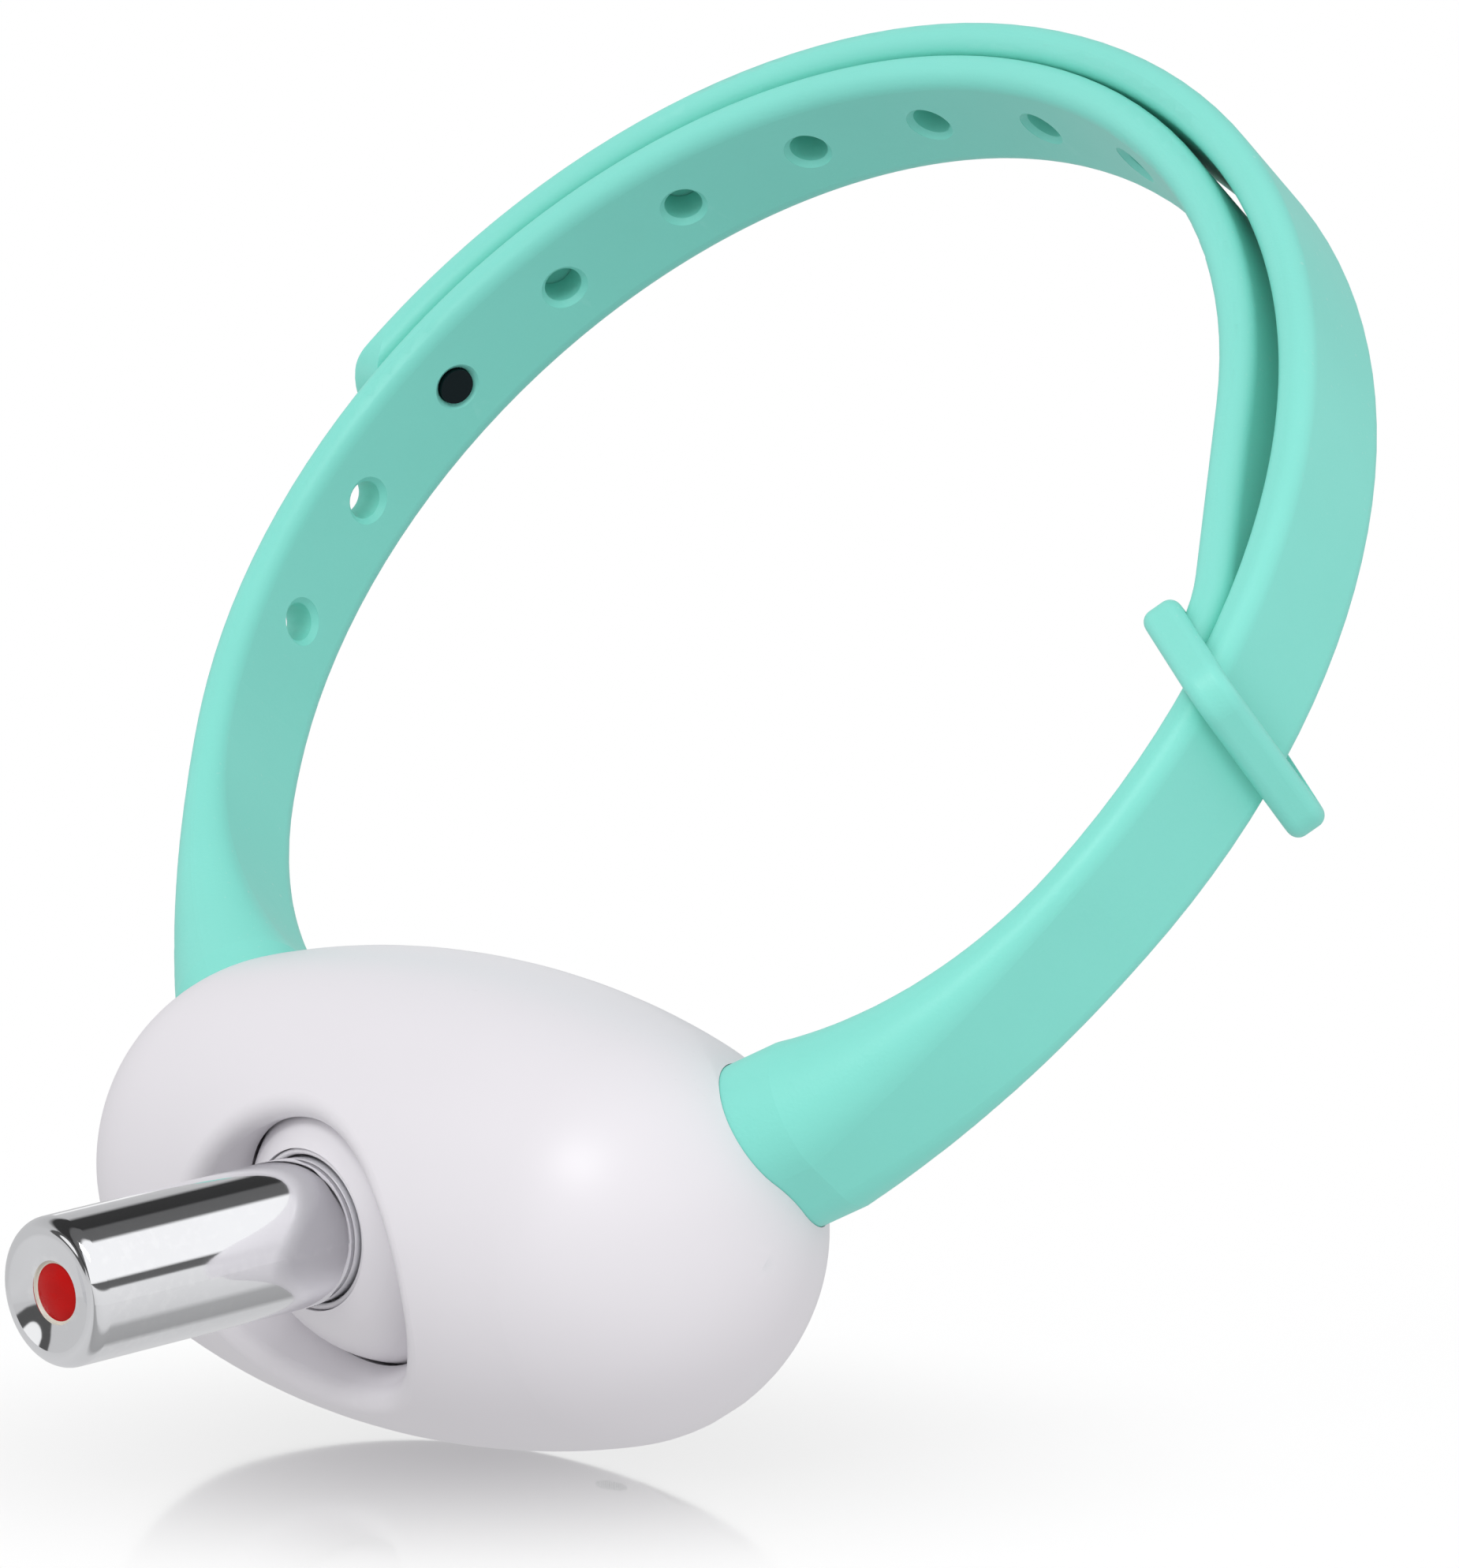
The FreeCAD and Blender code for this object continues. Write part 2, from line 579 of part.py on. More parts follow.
def ball_retainer():
    """Ring behind the ball: it carries the seat ring and screws to the cup."""
    floor = RETAINER_END + RETAINER_FLOOR
    opening = math.sqrt(BALL_RADIUS ** 2 - floor ** 2) + BALL_CLEARANCE * 2
    ring = turned([(SEAT_OUTER + SEAT_CLEARANCE, CUP_RIM), (CUP_OUTER, CUP_RIM),
                   (CUP_OUTER, floor + RETAINER_FLOOR), (CUP_OUTER - RETAINER_FLOOR, RETAINER_END),
                   (opening, RETAINER_END), (opening, floor),
                   (SEAT_OUTER + SEAT_CLEARANCE, floor)])
    for place in ear_places():
        ear = cylinder(RETAINER_EAR_RADIUS, CUP_RIM - RETAINER_FLOOR, CUP_RIM)
        ear.translate(place)
        ring = ring.fuse(ear)
    ring = ring.cut(cylinder(SEAT_OUTER + SEAT_CLEARANCE, floor, 0))
    for place in ear_places():
        hole = cylinder(SCREW_DIAMETER / 2 + SCREW_HOLE_CLEARANCE, RETAINER_END, 0)
        hole.translate(place)
        ring = ring.cut(hole)
    return aimed(ring, SOCKET_SLOPE).common(egg(WALL + RETAINER_GAP))


def screw(length):
    """Pan-head screw: its head sits on z = 0 and its shank runs down to -length."""
    head = cylinder(SCREW_HEAD_DIAMETER / 2, 0, SCREW_HEAD_HEIGHT)
    slot = SCREW_DIAMETER / 4
    recess = Part.makeBox(SCREW_DIAMETER, slot, 1, V(-SCREW_DIAMETER / 2, -slot / 2, SCREW_HEAD_HEIGHT / 2))
    cross = recess.copy()
    cross.rotate(V(0, 0, 0), V(0, 0, 1), 90)
    return head.cut(recess).cut(cross).fuse(cylinder(SCREW_DIAMETER / 2, -length, 0))


def retainer_screws():
    """Screws that hold the retainer; they point the way of the socket's axis."""
    screws = []
    for place in ear_places():
        item = screw(RETAINER_BOSS_LENGTH)
        item.rotate(V(0, 0, 0), V(1, 0, 0), 180)
        item.translate(place + V(0, 0, CUP_RIM - RETAINER_FLOOR))
        screws.append(aimed(item, SOCKET_SLOPE))
    return Part.makeCompound(screws)


def seat_ring():
    """Low-friction ring that the ball's rear half bears on; it turns with the head."""
    floor = RETAINER_END + RETAINER_FLOOR
    ring = cylinder(SEAT_OUTER, floor + SEAT_CLEARANCE, -SEAT_DEPTH)
    ring = ring.cut(Part.makeSphere(BALL_RADIUS + SEAT_CLEARANCE))
    return aimed(ring, SOCKET_SLOPE)


# ---- laser head -----------------------------------------------------------------------------

def swivel_ball():
    """Hollow ball, bored for the barrel in front and open behind for the wires."""
    ball = Part.makeSphere(BALL_RADIUS)
    ball = ball.cut(Part.makeSphere(BALL_RADIUS - BALL_WALL))
    collar = cylinder(BARREL_DIAMETER / 2 + BALL_WALL, BARREL_BACK, BALL_RADIUS)
    ball = ball.fuse(collar.common(Part.makeSphere(BALL_RADIUS)))
    ball = ball.cut(cylinder(BARREL_DIAMETER / 2 - BARREL_STEP, 0, 2 * BALL_RADIUS))
    groove_floor = math.sqrt(BALL_RADIUS ** 2 - (BARREL_DIAMETER / 2) ** 2) - BALL_GROOVE_DEPTH
    ball = ball.cut(cylinder(BARREL_DIAMETER / 2 + BALL_GROOVE, groove_floor, 2 * BALL_RADIUS))
    ball = ball.cut(Part.makeBox(FAR, FAR, FAR, V(-FAR / 2, -FAR / 2, -FAR - BALL_BACK)))
    return aimed(ball, BARREL_SLOPE)


def laser_barrel():
    """Chromed barrel with a rounded rim and a dished face round the lens."""
    outer = BARREL_DIAMETER / 2
    barrel = cylinder(outer, BARREL_SHOULDER, BARREL_REACH)
    rim = [edge for edge in barrel.Edges if edge.CenterOfMass.z > BARREL_REACH - 0.1]
    barrel = barrel.makeFillet(BARREL_ROUND, rim)
    barrel = barrel.fuse(cylinder(outer - BARREL_STEP, BARREL_BACK, BARREL_SHOULDER))
    barrel = barrel.cut(cylinder(BARREL_BORE / 2, 0, BARREL_REACH - FACE_THICKNESS))
    dish_radius = DISH_DIAMETER / 2
    sphere = (dish_radius ** 2 + DISH_DEPTH ** 2) / (2 * DISH_DEPTH)
    barrel = barrel.cut(Part.makeSphere(sphere, V(0, 0, BARREL_REACH + sphere - DISH_DEPTH)))
    barrel = barrel.cut(cylinder(LENS_DIAMETER / 2 + LENS_RING_WALL, 0, BARREL_REACH))
    return aimed(barrel, BARREL_SLOPE)


LENS_FACE = BARREL_REACH - DISH_DEPTH


def lens_ring():
    outer = cylinder(LENS_DIAMETER / 2 + LENS_RING_WALL, LENS_FACE - LENS_THICKNESS, LENS_FACE)
    ring = outer.cut(cylinder(LENS_DIAMETER / 2, 0, BARREL_REACH))
    return aimed(ring, BARREL_SLOPE)


def laser_lens():
    """Red window of the laser, a little domed."""
    radius = LENS_DIAMETER / 2
    sphere = (radius ** 2 + LENS_BULGE ** 2) / (2 * LENS_BULGE)
    lens = cylinder(radius, LENS_FACE - LENS_THICKNESS, LENS_FACE + LENS_BULGE)
    lens = lens.common(Part.makeSphere(sphere, V(0, 0, LENS_FACE + LENS_BULGE - sphere)))
    return aimed(lens, BARREL_SLOPE)


MODULE_FRONT = BARREL_REACH - FACE_THICKNESS
MODULE_BACK = MODULE_FRONT - MODULE_LENGTH
DIODE_BACK = MODULE_BACK - DIODE_LENGTH / 2


def laser_module():
    """Brass housing of the laser: a stepped tube with the beam's bore through it."""
    bore = LENS_DIAMETER / 2
    body = cylinder(BARREL_BORE / 2, MODULE_BACK, MODULE_FRONT)
    body = body.cut(cylinder(bore, MODULE_BACK, MODULE_FRONT))
    pocket = cylinder(DIODE_DIAMETER / 2, MODULE_BACK, MODULE_BACK + DIODE_LENGTH / 2)
    return aimed(body.cut(pocket), BARREL_SLOPE)


def laser_diode():
    """Diode can, half sunk in the back of the module, on its driver board."""
    can = cylinder(DIODE_DIAMETER / 2, DIODE_BACK, MODULE_BACK + DIODE_LENGTH / 2)
    return aimed(can, BARREL_SLOPE)


def driver_board():
    board = cylinder(DRIVER_DIAMETER / 2, DIODE_BACK - DRIVER_THICKNESS, DIODE_BACK)
    return aimed(board, BARREL_SLOPE)


# ---- pod -------------------------------------------------------------------------------------

def screw_places():
    """Where the two cover screws run, as points on the split plane."""
    return [V(side * SCREW_X, SPLIT_Y, -POD_DROP - SCREW_DROP) for side in (-1, 1)]


def along_y(shape, place):
    """Put a shape made about +Z at a place, pointing backwards along +Y."""
    return placed(shape, FreeCAD.Placement(place, FreeCAD.Rotation(V(1, 0, 0), -90)))


def board_rib():
    """Ring of the front shell that the circuit board rests against."""
    ring = Part.makeCylinder(2 * POD_RADIUS, RIB_THICKNESS, V(BOARD_FACE_X, 0, -POD_DROP), V(1, 0, 0))
    hole = Part.makeCylinder(BOARD_RADIUS - RIB_BEARING, FAR, V(0, 0, -POD_DROP), V(1, 0, 0))
    return ring.cut(hole).common(slab(-FAR, SPLIT_Y - LIP_HEIGHT - 1)).common(egg(WALL / 2))


def battery_rib():
    """Wall of the front shell that the battery is taped to, open in the middle."""
    outer_x = BATTERY_X - BATTERY_THICKNESS - TAPE_THICKNESS - RIB_THICKNESS
    plate = Part.makeBox(RIB_THICKNESS, FAR, FAR + BATTERY_HEIGHT / 3, V(outer_x, -FAR / 2, -POD_DROP - FAR))
    window = Part.makeCylinder(BATTERY_HEIGHT / 4, FAR, V(-FAR, 0, -POD_DROP), V(1, 0, 0))
    return plate.cut(window).common(slab(-FAR, SPLIT_Y - LIP_HEIGHT - 1)).common(egg(WALL / 2))


def rounded_lip(shell):
    """Round the edge where the funnel meets the pod's skin."""
    axis = aimed(Part.makeLine(V(0, 0, 0), V(0, 0, FAR)), SOCKET_SLOPE)
    lip = []
    for edge in [edge for edge in shell.Edges if not edge.Degenerated]:
        middle = edge.valueAt((edge.FirstParameter + edge.LastParameter) / 2)
        from_axis = axis.distToShape(Part.Vertex(middle))[0]
        from_middle = math.hypot(middle.y, middle.z + POD_DROP)
        on_skin = abs(from_middle - pod_radius(middle.x)) < LIP_CLEARANCE
        if on_skin and BALL_RADIUS - FUNNEL_ROUND < from_axis < BALL_RADIUS + FUNNEL_ROUND:
            lip.append(edge)
    return shell.makeFillet(FUNNEL_ROUND, lip)


def front_shell():
    """Front shell: egg wall, ball socket with its funnel, ribs, screw bosses, windows."""
    shell = band(0, WALL, -FAR, SPLIT_Y)
    bosses = [along_y(cylinder(SCREW_DIAMETER / 2 + BOSS_WALL, -BOSS_LENGTH, 0), place)
              for place in screw_places()]
    bosses = [boss.common(egg(WALL / 2)) for boss in bosses]
    shell = shell.multiFuse([socket_cup(), board_rib(), battery_rib()] + bosses)
    shell = rounded_lip(shell.cut(socket_space()))
    for place in screw_places():
        shell = shell.cut(along_y(cylinder(SCREW_DIAMETER / 2, 1 - BOSS_LENGTH, 1), place))
    for path in (perforated_path(), plain_path()):
        shell = shell.cut(swollen_root(path, WINDOW_CLEARANCE))
    return shell.cut(gasket_band())


def gasket_band():
    """Space of the rubber seal in the front shell's edge."""
    return band(GASKET_INSET, GASKET_INSET + GASKET_SIZE, SPLIT_Y - GASKET_SIZE, SPLIT_Y)


def cover_lip():
    """Lip of the rear cover that fits inside the front shell over the pod's middle."""
    inner = WALL + LIP_CLEARANCE + LIP_THICKNESS
    root = band(WALL / 2, inner, SPLIT_Y, SPLIT_Y + LIP_HEIGHT, LIP_REACH)
    lip = band(WALL + LIP_CLEARANCE, inner, SPLIT_Y - LIP_HEIGHT, SPLIT_Y, LIP_REACH)
    room = aimed(cylinder(CUP_OUTER + LIP_CLEARANCE, CUP_RIM, 2 * POD_RADIUS), SOCKET_SLOPE)
    return root.fuse(lip).cut(room)


def plug_outline(grown):
    """Outline of the port's rubber plug in the XZ plane, seen from behind, grown all round."""
    return rounded_rectangle(PLUG_HEIGHT + 2 * grown, PLUG_WIDTH + 2 * grown, PLUG_CORNER + grown)


PORT_X = BOARD_FACE_X + PORT_HEIGHT / 2
PORT_CENTRE = V(PORT_X, 0, -POD_DROP - PORT_DROP)


def port_opening(grown):
    """Straight prism through the cover over the charging port."""
    wire = rounded_rectangle(PORT_HEIGHT + 2 * grown, PORT_WIDTH + 2 * grown, PORT_HEIGHT / 2)
    return along_y(prism(wire, SPLIT_Y, 2 * POD_RADIUS), PORT_CENTRE)


BUTTON_X = BOARD_FACE_X + SWITCH_SIZE / 2
BUTTON_FOOT = SWITCH_REACH + PLUNGER_LENGTH
BUTTON_SEAT = BUTTON_FOOT + BUTTON_FLANGE_THICKNESS + BUTTON_CLEARANCE
FLANGE_RADIUS = BUTTON_DIAMETER / 2 + BUTTON_FLANGE
LED_X = BOARD_FACE_X + LED_SIZE / 2


def on_button(shape):
    """Put a shape made about +Z on the button's spoke of the pod."""
    return from_pod_axis(shape, SWITCH_ANGLE, BUTTON_X)


def rear_cover():
    """Rear cover: egg cap with the port's pocket, button guide, lamp hole, screw seats."""
    cover = band(0, WALL, SPLIT_Y, FAR)
    pad = along_y(prism(plug_outline(PLUG_CLEARANCE + PORT_PAD), SPLIT_Y + 1, FAR), PORT_CENTRE)
    pad = pad.common(egg(WALL / 2)).cut(egg(PLUG_THICKNESS + PLUG_FLOOR_GAP + PORT_PAD))
    guide_radius = BUTTON_DIAMETER / 2 + BUTTON_CLEARANCE + BUTTON_GUIDE_WALL
    guide = on_button(cylinder(guide_radius, BUTTON_SEAT, FAR))
    columns = [along_y(cylinder(SCREW_DIAMETER / 2 + BOSS_WALL, 0, FAR), place)
               for place in screw_places()]
    inner = egg(WALL / 2)
    cover = cover.multiFuse([pad, guide.common(inner).common(slab(SPLIT_Y, FAR)), cover_lip()]
                            + [column.common(inner) for column in columns])
    pocket = along_y(prism(plug_outline(PLUG_CLEARANCE), SPLIT_Y, FAR), PORT_CENTRE)
    cover = cover.cut(pocket.cut(egg(PLUG_THICKNESS + PLUG_FLOOR_GAP)))
    cover = cover.cut(port_opening(PORT_OPENING_GAP))
    hole = cylinder(BUTTON_DIAMETER / 2 + BUTTON_CLEARANCE, 0, FAR)
    hole = hole.fuse(cylinder(FLANGE_RADIUS + BUTTON_CLEARANCE, 0, BUTTON_SEAT))
    cover = cover.cut(on_button(hole))
    lamp = cylinder(WINDOW_DIAMETER / 2, 0, FAR)
    cover = cover.cut(from_pod_axis(lamp, LED_ANGLE, LED_X))
    for place in screw_places():
        cover = cover.cut(along_y(cylinder(SCREW_DIAMETER / 2 + SCREW_HOLE_CLEARANCE, -1, FAR), place))
        seat = cylinder(SCREW_HEAD_DIAMETER / 2 + SCREW_HOLE_CLEARANCE, SCREW_SEAT, FAR)
        cover = cover.cut(along_y(seat, place))
    return cover


def cover_screws():
    screws = []
    for place in screw_places():
        screws.append(along_y(screw(SCREW_LENGTH), place + V(0, SCREW_SEAT, 0)))
    return Part.makeCompound(screws)


# ---- button, plug and lamp window ----------------------------------------------------------------

def power_button():
    """Push button in its guide: domed top, and a flange that keeps it in."""
    top = pod_radius(BUTTON_X) + BUTTON_PROUD
    radius = BUTTON_DIAMETER / 2
    dome = (radius ** 2 + BUTTON_DOME ** 2) / (2 * BUTTON_DOME)
    stem = cylinder(radius, BUTTON_FOOT, top)
    stem = stem.common(Part.makeSphere(dome + POD_RADIUS, V(0, 0, top - dome - POD_RADIUS)))
    flange = cylinder(FLANGE_RADIUS, BUTTON_FOOT, BUTTON_FOOT + BUTTON_FLANGE_THICKNESS)
    return on_button(stem.fuse(flange))


def port_plug():
    """Rubber cover of the charging port: a skin flush with the pod and a short tongue."""
    skin = along_y(prism(plug_outline(0), SPLIT_Y, FAR), PORT_CENTRE)
    skin = skin.common(egg()).cut(egg(PLUG_THICKNESS))
    wire = rounded_rectangle(PORT_HEIGHT - PLUG_CLEARANCE, PORT_WIDTH - 2 * PLUG_CLEARANCE,
                             PORT_HEIGHT / 2 - PLUG_CLEARANCE)
    tongue = along_y(prism(wire, PORT_FACE_Y + PLUG_TONGUE_GAP, FAR), PORT_CENTRE)
    tongue = tongue.common(egg(PLUG_THICKNESS / 2))
    return skin.fuse(tongue)


def led_window():
    """Clear window in the cover over the charging lamp."""
    window = from_pod_axis(cylinder(WINDOW_DIAMETER / 2, 0, FAR), LED_ANGLE, LED_X)
    return window.common(egg()).cut(egg(WALL))


# ---- electronics ----------------------------------------------------------------------------------

def circuit_board():
    """Upright round board, flat above and below, notched for the button's travel."""
    board = Part.makeCylinder(BOARD_RADIUS, BOARD_THICKNESS, V(BOARD_X, 0, -POD_DROP), V(1, 0, 0))
    flat = Part.makeBox(FAR, FAR, 2 * BOARD_HALF_HEIGHT, V(0, -FAR / 2, -POD_DROP - BOARD_HALF_HEIGHT))
    notch = cylinder(FLANGE_RADIUS + BUTTON_CLEARANCE, BUTTON_FOOT - BUTTON_TRAVEL - BUTTON_CLEARANCE, FAR)
    return board.common(flat).cut(on_button(notch))


def usb_port():
    """Charging port: a metal shell, open behind, with its contact tongue."""
    outer = rounded_rectangle(PORT_HEIGHT, PORT_WIDTH, PORT_HEIGHT / 2 - PORT_WALL / 2)
    inner = rounded_rectangle(PORT_HEIGHT - 2 * PORT_WALL, PORT_WIDTH - 2 * PORT_WALL,
                              PORT_HEIGHT / 2 - 1.5 * PORT_WALL)
    tongue = rounded_rectangle(PORT_HEIGHT / 5, PORT_WIDTH - 8 * PORT_WALL, PORT_HEIGHT / 12)
    shell = prism(outer, -PORT_DEPTH, 0).cut(prism(inner, 4 * PORT_WALL - PORT_DEPTH, 1))
    shell = shell.fuse(prism(tongue, 2 * PORT_WALL - PORT_DEPTH, -4 * PORT_WALL))
    return along_y(shell, PORT_CENTRE + V(0, PORT_FACE_Y, 0))


def power_switch():
    """Tact switch on the board: it faces outwards on the button's spoke."""
    half = SWITCH_SIZE / 2
    body = Part.makeBox(SWITCH_SIZE, SWITCH_SIZE, SWITCH_SIZE, V(-half, -half, SWITCH_REACH - SWITCH_SIZE))
    well = cylinder(PLUNGER_DIAMETER / 2 + PLUNGER_CLEARANCE, SWITCH_REACH - PLUNGER_WELL, SWITCH_REACH)
    return on_button(body.cut(well))


def switch_plunger():
    """Plunger of the switch: the button rests on it and presses it in."""
    foot = SWITCH_REACH - PLUNGER_WELL + PLUNGER_GAP
    plunger = cylinder(PLUNGER_DIAMETER / 2, foot, BUTTON_FOOT)
    return on_button(plunger)


def charge_led():
    """Charging lamp on the board's edge, under the cover's window."""
    half = LED_SIZE / 2
    lamp = Part.makeBox(LED_SIZE, LED_SIZE, LED_SIZE, V(-half, -half, LED_REACH - LED_SIZE))
    return from_pod_axis(lamp, LED_ANGLE, LED_X)


def control_chip():
    """Control chip on the front half of the board."""
    return Part.makeBox(CHIP_THICKNESS, CHIP_SIZE, CHIP_SIZE,
                        V(BOARD_FACE_X, -CHIP_SIZE - 1, -POD_DROP - CHIP_SIZE / 2))


def battery_cell():
    """Flat cell, upright on its tape across the left end of the pod."""
    outline = rounded_rectangle(BATTERY_THICKNESS, BATTERY_LENGTH, BATTERY_THICKNESS / 4)
    cell = prism(outline, -BATTERY_HEIGHT / 2, BATTERY_HEIGHT / 2)
    cell.translate(V(BATTERY_X - BATTERY_THICKNESS / 2, 0, -POD_DROP))
    return cell


def battery_tape():
    """Double-sided pad between the cell and the shell's rib."""
    corner = V(BATTERY_X - BATTERY_THICKNESS - TAPE_THICKNESS, -TAPE_SIZE / 2, -POD_DROP - TAPE_SIZE / 2)
    return Part.makeBox(TAPE_THICKNESS, TAPE_SIZE, TAPE_SIZE, corner)


def battery_leads():
    """Two insulated wires from the cell to the board, straight past the back of the ball."""
    wires = []
    for side in (-1, 1):
        start = V(BATTERY_X, LEAD_Y + side * LEAD_PITCH / 2, LEAD_RISE - POD_DROP)
        wires.append(Part.makeCylinder(LEAD_DIAMETER / 2, BOARD_X - BATTERY_X, start, V(1, 0, 0)))
    return Part.makeCompound(wires)


# ---- build --------------------------------------------------------------------------------------------

NODES = {
    "front_shell": front_shell,
    "rear_cover": rear_cover,
    "seam_gasket": gasket_band,
    "cover_screws": cover_screws,
    "ball_retainer": ball_retainer,
    "retainer_screws": retainer_screws,
    "seat_ring": seat_ring,
    "swivel_ball": swivel_ball,
    "laser_barrel": laser_barrel,
    "lens_ring": lens_ring,
    "laser_lens": laser_lens,
    "laser_module": laser_module,
    "laser_diode": laser_diode,
    "driver_board": driver_board,
    "circuit_board": circuit_board,
    "usb_port": usb_port,
    "power_switch": power_switch,
    "switch_plunger": switch_plunger,
    "control_chip": control_chip,
    "charge_led": charge_led,
    "led_window": led_window,
    "battery_cell": battery_cell,
    "battery_tape": battery_tape,
    "battery_leads": battery_leads,
    "power_button": power_button,
    "port_plug": port_plug,
    "perforated_strap": perforated_strap,
    "plain_strap": plain_strap,
    "closure_stud": closure_stud,
    "strap_keeper": strap_keeper,
}


def main():
    os.makedirs("parts", exist_ok=True)
    for name, make in NODES.items():
        shape = make()
        shape.exportStep("parts/" + name + ".step")
        print(name, len(shape.Solids), "solids,", round(shape.Volume, 1), "mm3, valid", shape.isValid())


main()
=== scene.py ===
"""Dressed scene of a cat laser collar: finishes, small surface pieces, studio and camera."""
import json
import logging
import math
from abc import ABC, abstractmethod
from dataclasses import dataclass
from enum import Enum
from typing import Sequence, Union

import bmesh
import bpy
from mathutils import Matrix, Vector


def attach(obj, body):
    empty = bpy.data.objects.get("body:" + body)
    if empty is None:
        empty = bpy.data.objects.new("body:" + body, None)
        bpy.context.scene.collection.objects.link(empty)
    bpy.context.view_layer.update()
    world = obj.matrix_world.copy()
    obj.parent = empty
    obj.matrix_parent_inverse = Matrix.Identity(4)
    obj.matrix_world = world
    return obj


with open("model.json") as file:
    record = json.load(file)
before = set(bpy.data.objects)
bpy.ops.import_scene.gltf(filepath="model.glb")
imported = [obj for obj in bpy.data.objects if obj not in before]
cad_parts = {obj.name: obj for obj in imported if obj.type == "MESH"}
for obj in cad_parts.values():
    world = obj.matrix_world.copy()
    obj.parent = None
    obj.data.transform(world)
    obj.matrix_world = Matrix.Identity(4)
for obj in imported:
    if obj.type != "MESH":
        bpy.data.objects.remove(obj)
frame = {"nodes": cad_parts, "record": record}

LOG = logging.getLogger("laser_collar")
MM = 0.001
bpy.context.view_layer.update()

BARREL_AXIS = Vector((0.0, -0.73373, -0.67944))
WHITE = (1.0, 1.0, 1.0, 1.0)
FLAT_POINTINESS = 0.5  # Pointiness of a flat face.
CORNER_STEPS = 3  # Facets of a small block's rounded corner.
CORNER_SHARE = 0.9  # Radius of that corner as a share of the block's chamfer.

Colour = tuple[float, float, float]
Socket = bpy.types.NodeSocket
Feed = Union[Socket, float]
ColourFeed = Union[Socket, Colour]


# ---- helpers for shader nodes --------------------------------------------------------------

# Socket numbers of a Mix node that is set to colours.
MIX_MASK, MIX_FIRST, MIX_SECOND, MIX_RESULT = 0, 6, 7, 2


class Sheet:
    """A node tree with short ways to add nodes and wires."""

    def __init__(self, tree: bpy.types.NodeTree) -> None:
        """Keep the tree.

        Args:
            tree: Node tree that nodes are added to.
        """
        self.tree = tree

    def add(self, kind: str, **values: object) -> bpy.types.Node:
        """Add a node and set its properties and unlinked inputs.

        Args:
            kind: Blender's name of the node type.
            values: Properties by name; a name that starts with in_ is an input by number.

        Returns:
            The new node.
        """
        node = self.tree.nodes.new(kind)
        for name, value in values.items():
            if name.startswith("in_"):
                node.inputs[int(name[3:])].default_value = value
            else:
                setattr(node, name, value)
        return node

    def wire(self, start: Socket, end: Socket) -> None:
        """Join an output to an input."""
        self.tree.links.new(start, end)

    def maths(self, operation: str, first: Feed, second: Feed = 0.0) -> Socket:
        """Add a Math node fed by sockets or numbers.

        Args:
            operation: Name of the operation.
            first: Socket or number for the first input.
            second: Socket or number for the second input.

        Returns:
            The node's output.
        """
        node = self.add("ShaderNodeMath", operation=operation)
        for place, value in enumerate((first, second)):
            if isinstance(value, Socket):
                self.wire(value, node.inputs[place])
            else:
                node.inputs[place].default_value = value
        return node.outputs[0]

    def spread(self, value: Socket, low: float, high: float, to_low: float = 0.0,
               to_high: float = 1.0, straight: bool = False) -> Socket:
        """Map a value from one range to another, clamped.

        Args:
            value: Socket to map.
            low: Value that gives to_low.
            high: Value that gives to_high.
            to_low: Result at the low end.
            to_high: Result at the high end.
            straight: Map along a straight line, not with eased ends.

        Returns:
            The mapped output.
        """
        node = self.add("ShaderNodeMapRange",
                        interpolation_type="LINEAR" if straight else "SMOOTHSTEP",
                        in_1=low, in_2=high, in_3=to_low, in_4=to_high)
        self.wire(value, node.inputs[0])
        return node.outputs[0]

    def blend(self, mask: Feed, first: ColourFeed, second: ColourFeed) -> Socket:
        """Mix two colours by a mask.

        Args:
            mask: Socket or number from 0 to 1.
            first: Socket or colour where the mask is 0.
            second: Socket or colour where the mask is 1.

        Returns:
            The mixed colour.
        """
        node = self.add("ShaderNodeMix", data_type="RGBA")
        for place, value in ((MIX_MASK, mask), (MIX_FIRST, first), (MIX_SECOND, second)):
            if isinstance(value, Socket):
                self.wire(value, node.inputs[place])
            elif place == MIX_MASK:
                node.inputs[place].default_value = value
            else:
                node.inputs[place].default_value = (*value, 1.0)
        return node.outputs[MIX_RESULT]

    def mix(self, mask: Socket, first: Socket, second: Socket) -> Socket:
        """Mix two shaders by a mask.

        Args:
            mask: Socket from 0 to 1.
            first: Shader where the mask is 0.
            second: Shader where the mask is 1.

        Returns:
            The mixed shader.
        """
        node = self.add("ShaderNodeMixShader")
        for place, start in enumerate((mask, first, second)):
            self.wire(start, node.inputs[place])
        return node.outputs[0]


class Effect(Enum):
    """Shared surface effects, each a node group."""

    MOTTLE = "mottle"
    GRAIN = "fine_grain"
    # Edge mask: real wear on hard finishes, a painted highlight (sheen) on silicone.
    EDGE = "edge_wear_and_sheen"
    DUST = "dust"
    TURNING = "turning_marks"


